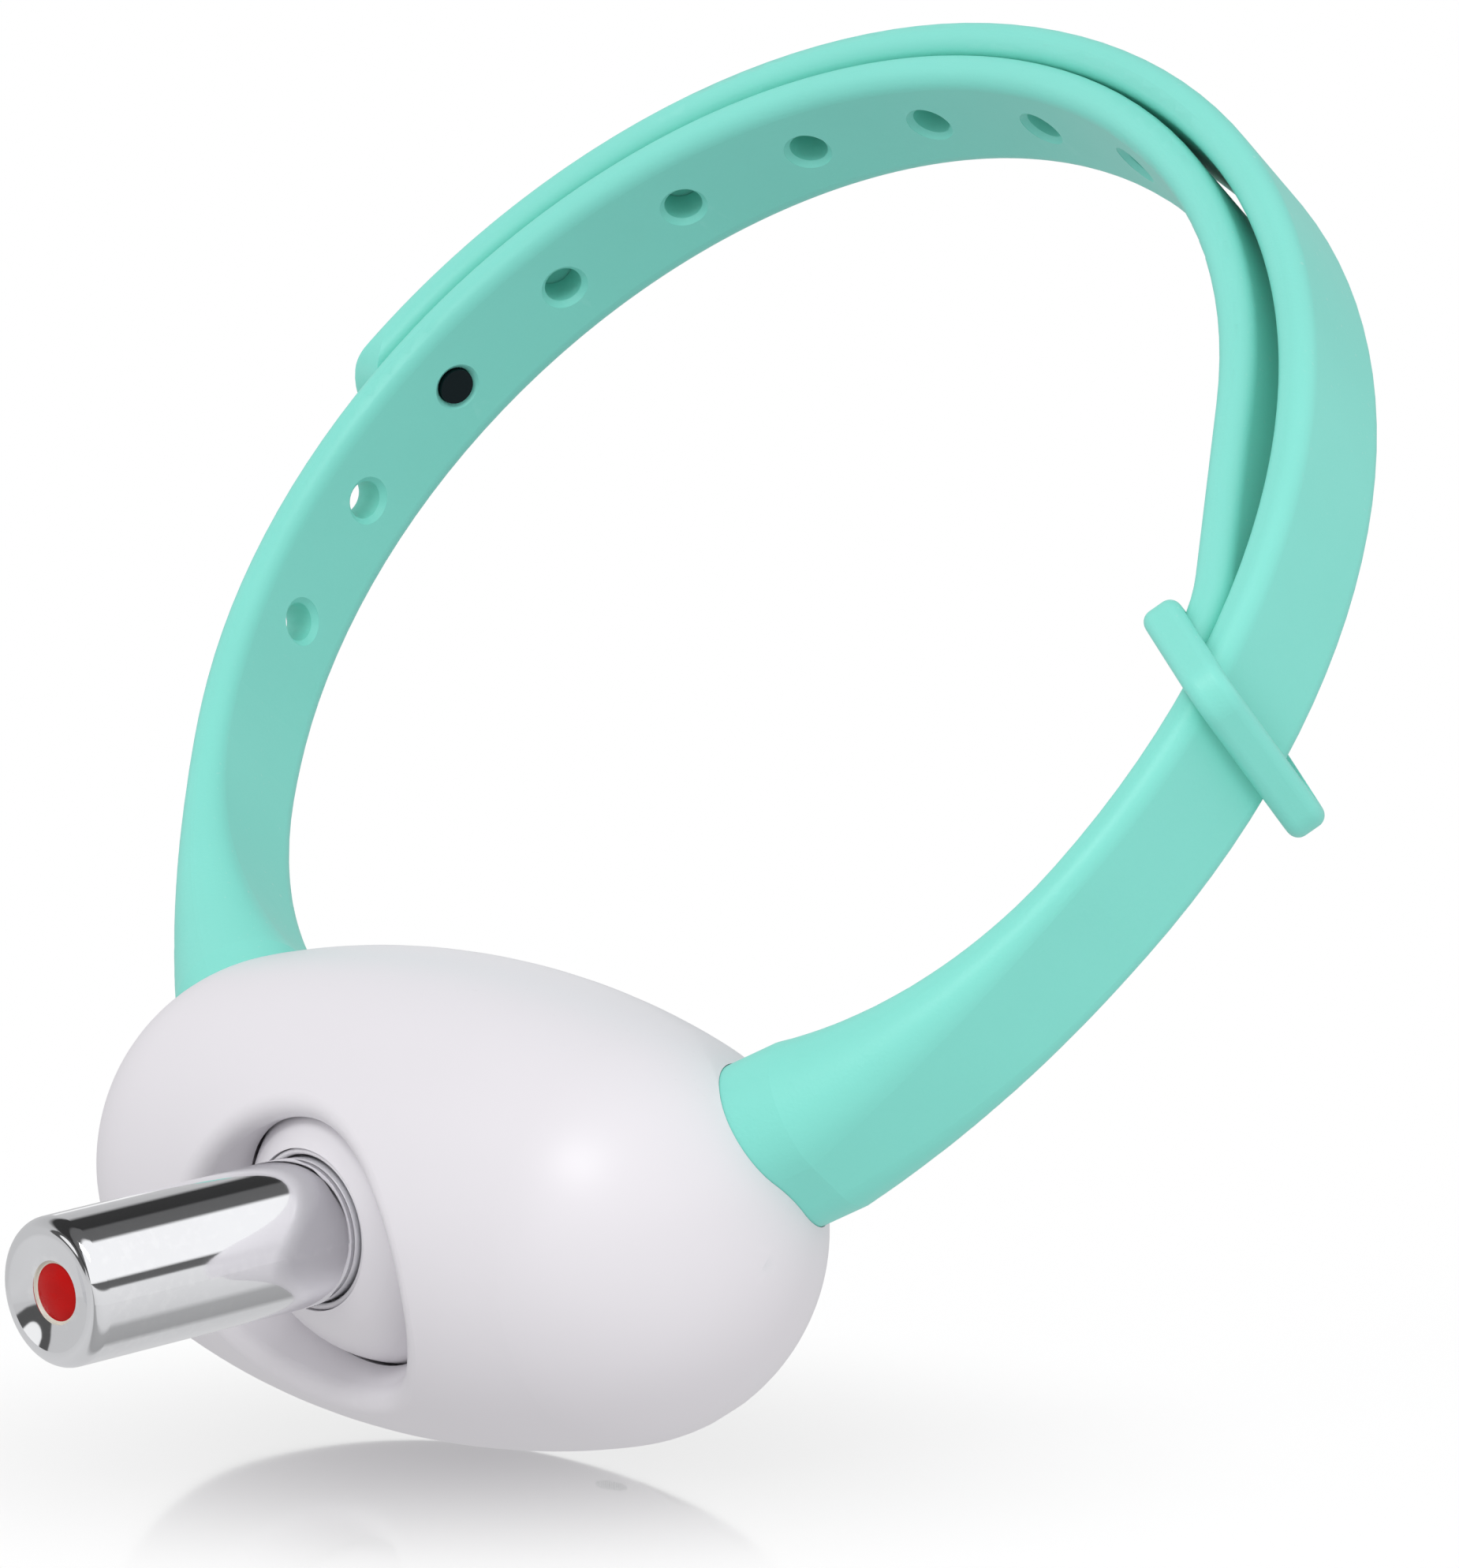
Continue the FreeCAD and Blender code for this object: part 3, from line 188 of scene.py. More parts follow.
class EffectShop:
    """Builds each shared effect once and puts it into materials."""

    def __init__(self) -> None:
        """Start with no groups."""
        self.groups: dict[Effect, bpy.types.NodeTree] = {}

    def group(self, effect: Effect) -> bpy.types.NodeTree:
        """Give an effect's node group, built on its first use.

        Args:
            effect: Which effect.

        Returns:
            The node group.
        """
        if effect not in self.groups:
            makers = {Effect.MOTTLE: self._mottle, Effect.GRAIN: self._grain,
                      Effect.EDGE: self._edge, Effect.DUST: self._dust,
                      Effect.TURNING: self._turning}
            self.groups[effect] = makers[effect]()
        return self.groups[effect]

    def place(self, sheet: Sheet, effect: Effect, **values: float) -> bpy.types.Node:
        """Put an effect in a material.

        Args:
            sheet: The material's nodes.
            effect: Which effect.
            values: The group's inputs by name, with underscores for spaces.

        Returns:
            The group node.
        """
        node = sheet.add("ShaderNodeGroup", node_tree=self.group(effect))
        for name, value in values.items():
            node.inputs[name.replace("_", " ").title()].default_value = value
        return node

    def _start(self, effect: Effect, inputs: Sequence[tuple[str, float]],
               output: str) -> tuple[Sheet, bpy.types.Node, bpy.types.Node]:
        """Make an empty group with float sockets.

        Args:
            effect: The group's effect.
            inputs: Names and default values of its inputs.
            output: Name of its one output.

        Returns:
            The sheet, the group's input node and its output node.
        """
        tree = bpy.data.node_groups.new(effect.value, "ShaderNodeTree")
        for name, value in inputs:
            socket = tree.interface.new_socket(name, in_out="INPUT", socket_type="NodeSocketFloat")
            socket.default_value = value
        tree.interface.new_socket(output, in_out="OUTPUT", socket_type="NodeSocketFloat")
        sheet = Sheet(tree)
        return sheet, sheet.add("NodeGroupInput"), sheet.add("NodeGroupOutput")

    def _noise(self, sheet: Sheet, scale: Socket, detail: float) -> Socket:
        """Noise in object space.

        Args:
            sheet: Group that gets the nodes.
            scale: Socket with the noise's scale.
            detail: Octaves of the noise.

        Returns:
            The noise value.
        """
        place = sheet.add("ShaderNodeTexCoord")
        noise = sheet.add("ShaderNodeTexNoise", in_3=detail)
        sheet.wire(place.outputs["Object"], noise.inputs["Vector"])
        sheet.wire(scale, noise.inputs["Scale"])
        return noise.outputs["Fac"]

    def _mottle(self) -> bpy.types.NodeTree:
        """Slow cloudy change over the surface, from 0 to 1.

        Returns:
            The finished group.
        """
        inputs = (("Scale", 90.0), ("Strength", 1.0))
        sheet, start, end = self._start(Effect.MOTTLE, inputs, "Mask")
        cloud = self._noise(sheet, start.outputs["Scale"], detail=2.0)
        mask = sheet.spread(cloud, low=0.2, high=0.8, straight=True)
        sheet.wire(sheet.maths("MULTIPLY", mask, start.outputs["Strength"]), end.inputs["Mask"])
        return sheet.tree

    def _grain(self) -> bpy.types.NodeTree:
        """Fine moulded grain as a height.

        Returns:
            The finished group.
        """
        inputs = (("Scale", 5000.0), ("Slow Share", 0.3))
        sheet, start, end = self._start(Effect.GRAIN, inputs, "Height")
        fine = self._noise(sheet, start.outputs["Scale"], detail=2.0)
        slow_ratio = 0.08
        slow_scale = sheet.maths("MULTIPLY", start.outputs["Scale"], slow_ratio)
        slow = self._noise(sheet, slow_scale, detail=1.0)
        weighted = sheet.maths("MULTIPLY", slow, start.outputs["Slow Share"])
        sheet.wire(sheet.maths("ADD", fine, weighted), end.inputs["Height"])
        return sheet.tree

    def _edge(self) -> bpy.types.NodeTree:
        """Broken-up mask along outward edges.

        Returns:
            The finished group.
        """
        inputs = (("Reach", 0.06), ("Scale", 700.0))
        sheet, start, end = self._start(Effect.EDGE, inputs, "Mask")
        shape = sheet.add("ShaderNodeNewGeometry")
        raised = sheet.maths("SUBTRACT", shape.outputs["Pointiness"], FLAT_POINTINESS)
        share = sheet.maths("DIVIDE", raised, start.outputs["Reach"])
        noise = self._noise(sheet, start.outputs["Scale"], detail=4.0)
        gaps = sheet.spread(noise, low=0.35, high=0.7, to_low=0.2)
        broken = sheet.maths("MULTIPLY", share, gaps)
        sheet.wire(sheet.spread(broken, low=0.2, high=1.0), end.inputs["Mask"])
        return sheet.tree

    def _dust(self) -> bpy.types.NodeTree:
        """Sparse specks that lie on faces turned upwards.

        Returns:
            The finished group.
        """
        inputs = (("Scale", 2500.0), ("Amount", 0.3))
        sheet, start, end = self._start(Effect.DUST, inputs, "Mask")
        shape = sheet.add("ShaderNodeNewGeometry")
        parts = sheet.add("ShaderNodeSeparateXYZ")
        sheet.wire(shape.outputs["Normal"], parts.inputs[0])
        upward = sheet.spread(parts.outputs["Z"], low=0.1, high=0.9)
        noise = self._noise(sheet, start.outputs["Scale"], detail=1.0)
        specks = sheet.spread(noise, low=0.7, high=0.78)
        mask = sheet.maths("MULTIPLY", upward, specks)
        sheet.wire(sheet.maths("MULTIPLY", mask, start.outputs["Amount"]), end.inputs["Mask"])
        return sheet.tree

    def _turning(self) -> bpy.types.NodeTree:
        """Fine marks of turning or brushing, drawn out along one way, as a height.

        Returns:
            The finished group.
        """
        inputs = (("Scale", 1800.0), ("Stretch", 12.0))
        sheet, start, end = self._start(Effect.TURNING, inputs, "Height")
        place = sheet.add("ShaderNodeTexCoord")
        squeeze = sheet.add("ShaderNodeCombineXYZ", in_0=1.0, in_1=1.0)
        sheet.wire(start.outputs["Stretch"], squeeze.inputs[2])
        drawn = sheet.add("ShaderNodeVectorMath", operation="MULTIPLY")
        sheet.wire(place.outputs["Object"], drawn.inputs[0])
        sheet.wire(squeeze.outputs[0], drawn.inputs[1])
        noise = sheet.add("ShaderNodeTexNoise", in_3=2.0)
        sheet.wire(drawn.outputs[0], noise.inputs["Vector"])
        sheet.wire(start.outputs["Scale"], noise.inputs["Scale"])
        sheet.wire(noise.outputs["Fac"], end.inputs["Height"])
        return sheet.tree


EFFECTS = EffectShop()


# ---- finishes --------------------------------------------------------------------------------


def toned(colour: Colour, factor: float, lift: float = 0.0) -> Colour:
    """Lighter or darker colour, at most 1 in each channel."""
    return tuple(min(1.0, channel * factor + lift) for channel in colour)


class Finish(ABC):
    """A material that can be built once and put on pieces."""

    name: str
    colour: Colour

    def material(self) -> bpy.types.Material:
        """Give the finish's material, built on its first use.

        Returns:
            The material.
        """
        found = bpy.data.materials.get(self.name)
        if found:
            return found
        made = bpy.data.materials.new(self.name)
        made.use_nodes = True
        made.node_tree.nodes.clear()
        sheet = Sheet(made.node_tree)
        shader = sheet.add("ShaderNodeBsdfPrincipled")
        output = sheet.add("ShaderNodeOutputMaterial")
        sheet.wire(shader.outputs[0], output.inputs["Surface"])
        self.dress(sheet, shader)
        return made

    @abstractmethod
    def dress(self, sheet: Sheet, shader: bpy.types.Node) -> None:
        """Set the shader's sockets and add the nodes that feed it.

        Args:
            sheet: The material's nodes.
            shader: Its Principled node.
        """

    def paint(self, sheet: Sheet, shader: bpy.types.Node,
              coats: Sequence[tuple[Socket, Colour]]) -> None:
        """Lay colours over the finish's own and feed them to the shader.

        Args:
            sheet: The material's nodes.
            shader: Its Principled node.
            coats: Masks and the colours that they let through, from the lowest up.
        """
        base: ColourFeed = self.colour
        for mask, colour in coats:
            base = sheet.blend(mask, base, colour)
        sheet.wire(base, shader.inputs["Base Color"])

    def bump(self, sheet: Sheet, shader: bpy.types.Node, height: Socket, depth: float) -> None:
        """Feed a height to the shader's normal.

        Args:
            sheet: The material's nodes.
            shader: Its Principled node.
            height: The height's socket.
            depth: Real depth of a full step of height, in metres.
        """
        bump = sheet.add("ShaderNodeBump")
        bump.inputs["Strength"].default_value = 1.0
        bump.inputs["Distance"].default_value = depth
        sheet.wire(height, bump.inputs["Height"])
        sheet.wire(bump.outputs[0], shader.inputs["Normal"])


@dataclass(frozen=True)
class Silicone(Finish):
    """Soft moulded silicone or rubber with a painted highlight (a lighter sheen colour) along its
    edges.
    """

    name: str
    colour: Colour
    # sheen_colour is a lighter colour painted on edges as a highlight; sheen_share is how much of
    # it shows.
    sheen_colour: Colour
    roughness: float = 0.5
    depth: float = 0.000012
    rough_swing: float = 0.03
    sheen_share: float = 0.1
    dust: Colour = (0.85, 0.84, 0.82)
    translucence: float = 0.12
    glow_radius: Colour = (1.0, 1.0, 0.9)
    glow_depth: float = 0.0015
    refraction: float = 1.43

    def dress(self, sheet: Sheet, shader: bpy.types.Node) -> None:
        """Cloudy colour, a painted highlight on edges, dust and a fine grain.

        Args:
            sheet: The material's nodes.
            shader: Its Principled node.
        """
        cloud = EFFECTS.place(sheet, Effect.MOTTLE, scale=120.0, strength=0.3)
        edge = EFFECTS.place(sheet, Effect.EDGE, reach=0.09, scale=900.0)
        dust = EFFECTS.place(sheet, Effect.DUST, scale=2600.0, amount=0.2)
        # Painted highlight: the edge mask lays a lighter colour where a satin sheen from the lamps
        # would fall.
        painted_edge_sheen = sheet.maths("MULTIPLY", edge.outputs[0], self.sheen_share)
        self.paint(sheet, shader, ((cloud.outputs[0], toned(self.colour, 0.9)),
                                   (painted_edge_sheen, self.sheen_colour), (dust.outputs[0], self.dust)))
        rough = sheet.spread(cloud.outputs[0], low=0.0, high=0.3,
                             to_low=self.roughness - self.rough_swing,
                             to_high=self.roughness + self.rough_swing, straight=True)
        sheet.wire(rough, shader.inputs["Roughness"])
        shader.inputs["Subsurface Weight"].default_value = self.translucence
        shader.inputs["Subsurface Radius"].default_value = self.glow_radius
        shader.inputs["Subsurface Scale"].default_value = self.glow_depth
        shader.inputs["IOR"].default_value = self.refraction
        grain = EFFECTS.place(sheet, Effect.GRAIN, scale=4200.0, slow_share=1.2)
        self.bump(sheet, shader, grain.outputs[0], self.depth)


@dataclass(frozen=True)
class Moulding(Finish):
    """Hard moulded plastic with a soft sheen."""

    name: str
    colour: Colour
    roughness: float = 0.3
    depth: float = 0.000004
    worn: float = 0.15
    shine: float = 0.5
    rough_swing: float = 0.015
    dust: Colour = (0.6, 0.59, 0.57)
    refraction: float = 1.5

    def dress(self, sheet: Sheet, shader: bpy.types.Node) -> None:
        """Nearly even colour, rubbed edges, specks of dust and a light orange peel.

        Args:
            sheet: The material's nodes.
            shader: Its Principled node.
        """
        cloud = EFFECTS.place(sheet, Effect.MOTTLE, scale=80.0, strength=0.5)
        edge = EFFECTS.place(sheet, Effect.EDGE, reach=0.08, scale=1200.0)
        dust = EFFECTS.place(sheet, Effect.DUST, scale=3000.0, amount=0.15)
        rubbed = sheet.maths("MULTIPLY", edge.outputs[0], self.worn)
        self.paint(sheet, shader, ((cloud.outputs[0], toned(self.colour, 0.97)),
                                   (rubbed, toned(self.colour, 1.06, lift=0.01)),
                                   (dust.outputs[0], self.dust)))
        rough = sheet.spread(cloud.outputs[0], low=0.0, high=0.5,
                             to_low=self.roughness - self.rough_swing,
                             to_high=self.roughness + self.rough_swing, straight=True)
        sheet.wire(rough, shader.inputs["Roughness"])
        shader.inputs["IOR"].default_value = self.refraction
        shader.inputs["Specular IOR Level"].default_value = self.shine
        grain = EFFECTS.place(sheet, Effect.GRAIN, scale=1500.0, slow_share=1.5)
        self.bump(sheet, shader, grain.outputs[0], self.depth)


@dataclass(frozen=True)
class Metal(Finish):
    """Plated, turned or brushed metal."""

    name: str
    colour: Colour
    roughness: float = 0.1
    depth: float = 0.000001
    stretch: float = 1.0
    worn: float = 0.5
    tarnish: float = 1.2

    def dress(self, sheet: Sheet, shader: bpy.types.Node) -> None:
        """Faint tarnish and smears over fine marks.

        Args:
            sheet: The material's nodes.
            shader: Its Principled node.
        """
        cloud = EFFECTS.place(sheet, Effect.MOTTLE, scale=150.0, strength=1.0)
        edge = EFFECTS.place(sheet, Effect.EDGE, reach=0.07, scale=1500.0)
        rubbed = sheet.maths("MULTIPLY", edge.outputs[0], self.worn)
        self.paint(sheet, shader, ((cloud.outputs[0], toned(self.colour, 0.97)),
                                   (rubbed, toned(self.colour, 1.1))))
        rough = sheet.spread(cloud.outputs[0], low=0.0, high=1.0, to_low=self.roughness,
                             to_high=self.roughness * self.tarnish, straight=True)
        sheet.wire(rough, shader.inputs["Roughness"])
        shader.inputs["Metallic"].default_value = 1.0
        marks = EFFECTS.place(sheet, Effect.TURNING, scale=2200.0, stretch=self.stretch)
        self.bump(sheet, shader, marks.outputs[0], self.depth)


@dataclass(frozen=True)
class ClearWindow(Finish):
    """Clear or tinted moulded window."""

    name: str
    colour: Colour
    roughness: float = 0.03
    transmission: float = 0.9
    shine: float = 0.5
    smear: float = 0.04
    refraction: float = 1.49

    def dress(self, sheet: Sheet, shader: bpy.types.Node) -> None:
        """Tinted glass with faint smears.

        Args:
            sheet: The material's nodes.
            shader: Its Principled node.
        """
        smear = EFFECTS.place(sheet, Effect.MOTTLE, scale=900.0, strength=1.0)
        self.paint(sheet, shader, ((smear.outputs[0], toned(self.colour, 0.85)),))
        rough = sheet.spread(smear.outputs[0], low=0.0, high=1.0, to_low=self.roughness,
                             to_high=self.roughness + self.smear)
        sheet.wire(rough, shader.inputs["Roughness"])
        shader.inputs["Specular IOR Level"].default_value = self.shine
        shader.inputs["Transmission Weight"].default_value = self.transmission
        shader.inputs["IOR"].default_value = self.refraction


FINISHES: dict[str, Finish] = {
    "pod_shell": Moulding("pod_shell_gloss", (0.78, 0.765, 0.795), 0.38),
    "strap_rubber": Silicone("strap_silicone", (0.239, 0.755, 0.650), (0.42, 0.86, 0.78), 0.43),
    "barrel_chrome": Metal("barrel_bright_chrome", (0.90, 0.905, 0.92), 0.05, depth=0.0000002),
    "ball_plastic": Moulding("ball_white_gloss", (0.785, 0.77, 0.80), 0.34),
    "seat_plastic": Moulding("seat_natural", (0.56, 0.56, 0.54), 0.45),
    "lens_red": ClearWindow("lens_deep_red", (0.52, 0.006, 0.005), 0.25, transmission=0.0,
                            shine=0.12),
    "lens_trim": Moulding("lens_trim_cream", (0.74, 0.70, 0.60), 0.4),
    "module_brass": Metal("module_turned_brass", (0.72, 0.52, 0.22), 0.22, depth=0.000003,
                          stretch=10.0),
    "steel": Metal("screw_steel", (0.56, 0.57, 0.58), 0.24, depth=0.000003, stretch=6.0),
    "board_green": Moulding("board_solder_mask", (0.02, 0.13, 0.06), 0.35),
    "board_black": Moulding("component_black", (0.02, 0.02, 0.022), 0.5),
    "button_grey": Moulding("button_grey_satin", (0.42, 0.43, 0.45), 0.4, depth=0.000008),
    "plug_rubber": Silicone("plug_soft_grey", (0.62, 0.61, 0.63), (0.75, 0.74, 0.76), 0.55),
    "stud_black": Moulding("stud_near_black", (0.003, 0.010, 0.012), 0.45, depth=0.000003,
                           worn=0.02, shine=0.12),
    "seal_rubber": Silicone("seal_dark", (0.03, 0.03, 0.033), (0.09, 0.09, 0.09), 0.6),
    "cell_foil": Metal("cell_foil", (0.62, 0.63, 0.65), 0.35, depth=0.00002),
    "tape_foam": Silicone("tape_foam", (0.72, 0.69, 0.60), (0.8, 0.78, 0.7), 0.8, depth=0.00003),
    "lead_red": Silicone("lead_insulation", (0.45, 0.02, 0.015), (0.6, 0.08, 0.06), 0.45),
    "window_clear": ClearWindow("window_clear", (0.90, 0.93, 0.93), 0.12, transmission=0.8),
    "lamp_white": Moulding("lamp_phosphor", (0.80, 0.77, 0.50), 0.35),
}


# ---- pieces ------------------------------------------------------------------------------------


class CadDressing:
    """Puts the record's finishes on the CAD nodes."""

    def dress(self) -> None:
        """Give every CAD node its finish."""
        slots = {row["node"]: row["material_slot"] for row in frame["record"]["subparts"]}
        for name, piece in frame["nodes"].items():
            finish = FINISHES[slots[name]]
            piece.data.materials.clear()
            piece.data.materials.append(finish.material())
            LOG.info("%s: %s", name, finish.name)


class Solid:
    """Mesh under construction, in millimetres of the shared frame."""

    def __init__(self, name: str) -> None:
        """Start empty.

        Args:
            name: Name of the piece.
        """
        self.name = name
        self.corners: list[Vector] = []
        self.faces: list[tuple[int, ...]] = []

    def rings(self, rings: Sequence[Sequence[Vector]], joined: bool = False) -> None:
        """Add a skin through rings of points that have the same count.

        Args:
            rings: Closed rings, from one end to the other.
            joined: Join the last ring to the first, where the two ends are closed otherwise.
        """
        first = len(self.corners)
        count = len(rings[0])
        for ring in rings:
            self.corners.extend(ring)
        spans = len(rings) if joined else len(rings) - 1
        for span in range(spans):
            low = first + span * count
            high = first + (span + 1) % len(rings) * count
            for index in range(count):
                after = (index + 1) % count
                self.faces.append((low + index, low + after, high + after, high + index))
        if not joined:
            self.faces.append(tuple(range(first + count - 1, first - 1, -1)))
            last = first + (len(rings) - 1) * count
            self.faces.append(tuple(range(last, last + count)))

    def finished(self, slot: str, body: str, smooth: bool = False) -> bpy.types.Object:
        """Make the object, give it its finish and let it ride on a body.

        Args:
            slot: The record's material slot.
            body: Body that the piece rides on.
            smooth: Shade it smoothly.

        Returns:
            The piece.
        """
        mesh = bpy.data.meshes.new(self.name)
        mesh.from_pydata([tuple(corner * MM) for corner in self.corners], [], self.faces)
        sheet = bmesh.new()
        sheet.from_mesh(mesh)
        bmesh.ops.recalc_face_normals(sheet, faces=sheet.faces)
        sheet.to_mesh(mesh)
        sheet.free()
        for polygon in mesh.polygons:
            polygon.use_smooth = smooth
        mesh.materials.append(FINISHES[slot].material())
        piece = bpy.data.objects.new(self.name, mesh)
        bpy.context.scene.collection.objects.link(piece)
        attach(piece, body)
        return piece


@dataclass(frozen=True)
class Place:
    """Origin and axes that small pieces are built in, in millimetres."""

    origin: Vector
    across: Vector
    up: Vector
    out: Vector

    def at(self, across: float, up: float, out: float) -> Vector:
        """Point given along the three axes."""
        return self.origin + self.across * across + self.up * up + self.out * out

    def outline(self, width: float, height: float, radius: float, out: float,
                centre: tuple[float, float]) -> list[Vector]:
        """Closed ring with rounded corners, square to the out axis.

        Args:
            width: Size along the across axis.
            height: Size along the up axis.
            radius: Radius of the corners.
            out: Place along the out axis.
            centre: Middle along the across and up axes.

        Returns:
            The ring's points.
        """
        ring = []
        for corner, (side, rise) in enumerate(((1, 1), (-1, 1), (-1, -1), (1, -1))):
            for step in range(CORNER_STEPS + 1):
                turn = math.radians(90.0 * (corner + step / CORNER_STEPS))
                across = centre[0] + side * (width / 2 - radius) + radius * math.cos(turn)
                up = centre[1] + rise * (height / 2 - radius) + radius * math.sin(turn)
                ring.append(self.at(across, up, out))
        return ring

    def block(self, solid: Solid, width: float, height: float, start: float, end: float,
              chamfer: float, centre: tuple[float, float] = (0.0, 0.0)) -> None:
        """Add a block with rounded corners and chamfered ends to a solid.

        Args:
            solid: Mesh that gets the block.
            width: Size along the across axis.
            height: Size along the up axis.
            start: Where it starts along the out axis.
            end: Where it ends.
            chamfer: Size of the chamfers and of the rounded corners.
            centre: Middle along the across and up axes.
        """
        radius = chamfer * CORNER_SHARE
        levels = ((start, chamfer), (start + chamfer, 0.0), (end - chamfer, 0.0), (end, chamfer))
        solid.rings([self.outline(width - 2 * inset, height - 2 * inset, radius, out, centre)
                     for out, inset in levels])


# Across, up and out of a piece that lies along Y with its height along X.
LYING_AXES = (Vector((0.0, 0.0, 1.0)), Vector((1.0, 0.0, 0.0)), Vector((0.0, 1.0, 0.0)))


class SubAssembly(ABC):
    """Small pieces that belong together and ride on one body."""

    body: str

    @abstractmethod
    def build(self) -> list[bpy.types.Object]:
        """Build and dress the pieces.

        Returns:
            The pieces.
        """


@dataclass(frozen=True)
class BarrelCollar(SubAssembly):
    """White ring that fills the ball's open ring round the barrel, but for a thin joint."""

    body: str = "laser_head"
    ball: Vector = Vector((0.0, -3.1, -41.9))
    axis: Vector = BARREL_AXIS
    inner: float = 4.715
    outer: float = 5.11
    foot: float = 7.3
    crown: float = 8.44
    facets: int = 128
    crown_steps: int = 8

    def build(self) -> list[bpy.types.Object]:
        """Turn the collar's rounded section round the barrel's axis.

        Returns:
            The collar, alone in a list.
        """
        across = Vector((1.0, 0.0, 0.0))
        up = self.axis.cross(across)
        middle = (self.inner + self.outer) / 2
        half = (self.outer - self.inner) / 2
        shoulder = self.crown - half
        section = [(self.outer, self.foot), (self.outer, shoulder)]
        for step in range(1, self.crown_steps):
            turn = math.pi * step / self.crown_steps
            section.append((middle + half * math.cos(turn), shoulder + half * math.sin(turn)))
        section += [(self.inner, shoulder), (self.inner, self.foot)]
        solid = Solid("barrel_collar")
        rings = []
        for facet in range(self.facets):
            turn = math.tau * facet / self.facets
            way = across * math.cos(turn) + up * math.sin(turn)
            rings.append([self.ball + way * radius + self.axis * height
                          for radius, height in section])
        solid.rings(rings, joined=True)
        return [solid.finished("ball_plastic", self.body, smooth=True)]


@dataclass(frozen=True)
class PortInside(SubAssembly):
    """Tongue, contacts and back of the charging port, seen when its plug is open."""

    body: str = "pod"
    centre: Vector = Vector((15.13, 0.0, -41.2))
    tongue_width: float = 6.7
    tongue_thickness: float = 0.7
    tongue_start: float = 4.4
    tongue_end: float = 9.7
    tongue_chamfer: float = 0.15
    back_width: float = 8.1
    back_height: float = 2.4
    back_start: float = 3.4
    back_overlap: float = 0.2
    back_chamfer: float = 0.2
    contact_count: int = 8
    contact_pitch: float = 0.5
    contact_width: float = 0.26
    contact_proud: float = 0.03
    contact_chamfer: float = 0.03
    contact_inset: float = 0.3
    outer_setback: float = 0.3
    inner_setback: float = 0.6

    def build(self) -> list[bpy.types.Object]:
        """Build the moulded tongue with its back, then the plated contacts.

        Returns:
            The tongue and the contacts.
        """
        place = Place(self.centre, *LYING_AXES)
        moulding = Solid("port_tongue")
        place.block(moulding, self.tongue_width, self.tongue_thickness,
                    self.tongue_start, self.tongue_end, self.tongue_chamfer)
        place.block(moulding, self.back_width, self.back_height,
                    self.back_start, self.tongue_start + self.back_overlap, self.back_chamfer)
        contacts = Solid("port_contacts")
        thickness = self.tongue_thickness + 2 * self.contact_proud
        last = self.contact_count - 1
        for index in range(self.contact_count):
            across = (index - last / 2) * self.contact_pitch
            setback = self.outer_setback if index in (0, last) else self.inner_setback
            place.block(contacts, self.contact_width, thickness,
                        self.tongue_start + self.contact_inset, self.tongue_end - setback,
                        self.contact_chamfer, (across, 0.0))
        return [moulding.finished("board_black", self.body),
                contacts.finished("module_brass", self.body)]


@dataclass(frozen=True)
class BoardParts(SubAssembly):
    """Legs of the control chip and the small parts soldered beside it."""

    body: str = "pod"
    face: float = 13.5
    chip_y: float = -3.2
    chip_z: float = -39.3
    chip_half: float = 2.2
    leg_count: int = 4
    leg_pitch: float = 1.0
    leg_width: float = 0.36
    leg_thickness: float = 0.14
    leg_rise: float = 0.45
    leg_foot_rise: float = 0.1
    leg_root: float = -0.1
    leg_shoulder: float = 0.3
    leg_knee: float = 0.45
    leg_reach: float = 0.95
    part_rows: tuple[float, ...] = (-35.2, -43.6)
    part_columns: tuple[float, ...] = (-4.3, -1.6)
    part_length: float = 1.6
    part_width: float = 0.8
    part_height: float = 0.5
    part_chamfer: float = 0.05
    cap_length: float = 0.32
    cap_chamfer: float = 0.06
    cap_overlap_share: float = 0.4
    body_width_share: float = 0.94
    body_height_share: float = 0.9

    def build(self) -> list[bpy.types.Object]:
        """Build the legs, the ceramic bodies and their metal ends."""
        return [self._legs(), *self._passives()]

    def _legs(self) -> bpy.types.Object:
        """Bend each leg down from the chip's side to the board.

        Returns:
            All legs as one piece.
        """
        legs = Solid("chip_legs")
        half = self.leg_width / 2
        for side in (-1, 1):
            for index in range(self.leg_count):
                y = self.chip_y + (index - (self.leg_count - 1) / 2) * self.leg_pitch
                runs = ((self.leg_root, self.leg_rise), (self.leg_shoulder, self.leg_rise),
                        (self.leg_knee, self.leg_foot_rise), (self.leg_reach, self.leg_foot_rise))
                rings = []
                for reach, rise in runs:
                    z = self.chip_z + side * (self.chip_half + reach)
                    low = self.face + rise - self.leg_thickness / 2
                    high = low + self.leg_thickness
                    rings.append([Vector((low, y - half, z)), Vector((low, y + half, z)),
                                  Vector((high, y + half, z)), Vector((high, y - half, z))])
                legs.rings(rings)
        return legs.finished("steel", self.body)

    def _passives(self) -> list[bpy.types.Object]:
        """Make the four small parts that lie along the board.

        Returns:
            The ceramic bodies and their metal ends.
        """
        bodies = Solid("board_part_bodies")
        caps = Solid("board_part_caps")
        half = self.part_length / 2
        reach = half - self.cap_length * (1.0 - self.cap_overlap_share)
        for z in self.part_rows:
            for y in self.part_columns:
                place = Place(Vector((self.face + self.part_height / 2, y, z)), *LYING_AXES)
                place.block(bodies, self.part_width * self.body_width_share,
                            self.part_height * self.body_height_share,
                            -reach, reach, self.part_chamfer)
                for start in (-half, half - self.cap_length):
                    place.block(caps, self.part_width, self.part_height,
                                start, start + self.cap_length, self.cap_chamfer)
        return [bodies.finished("lamp_white", self.body), caps.finished("steel", self.body)]


# ---- studio -------------------------------------------------------------------------------------


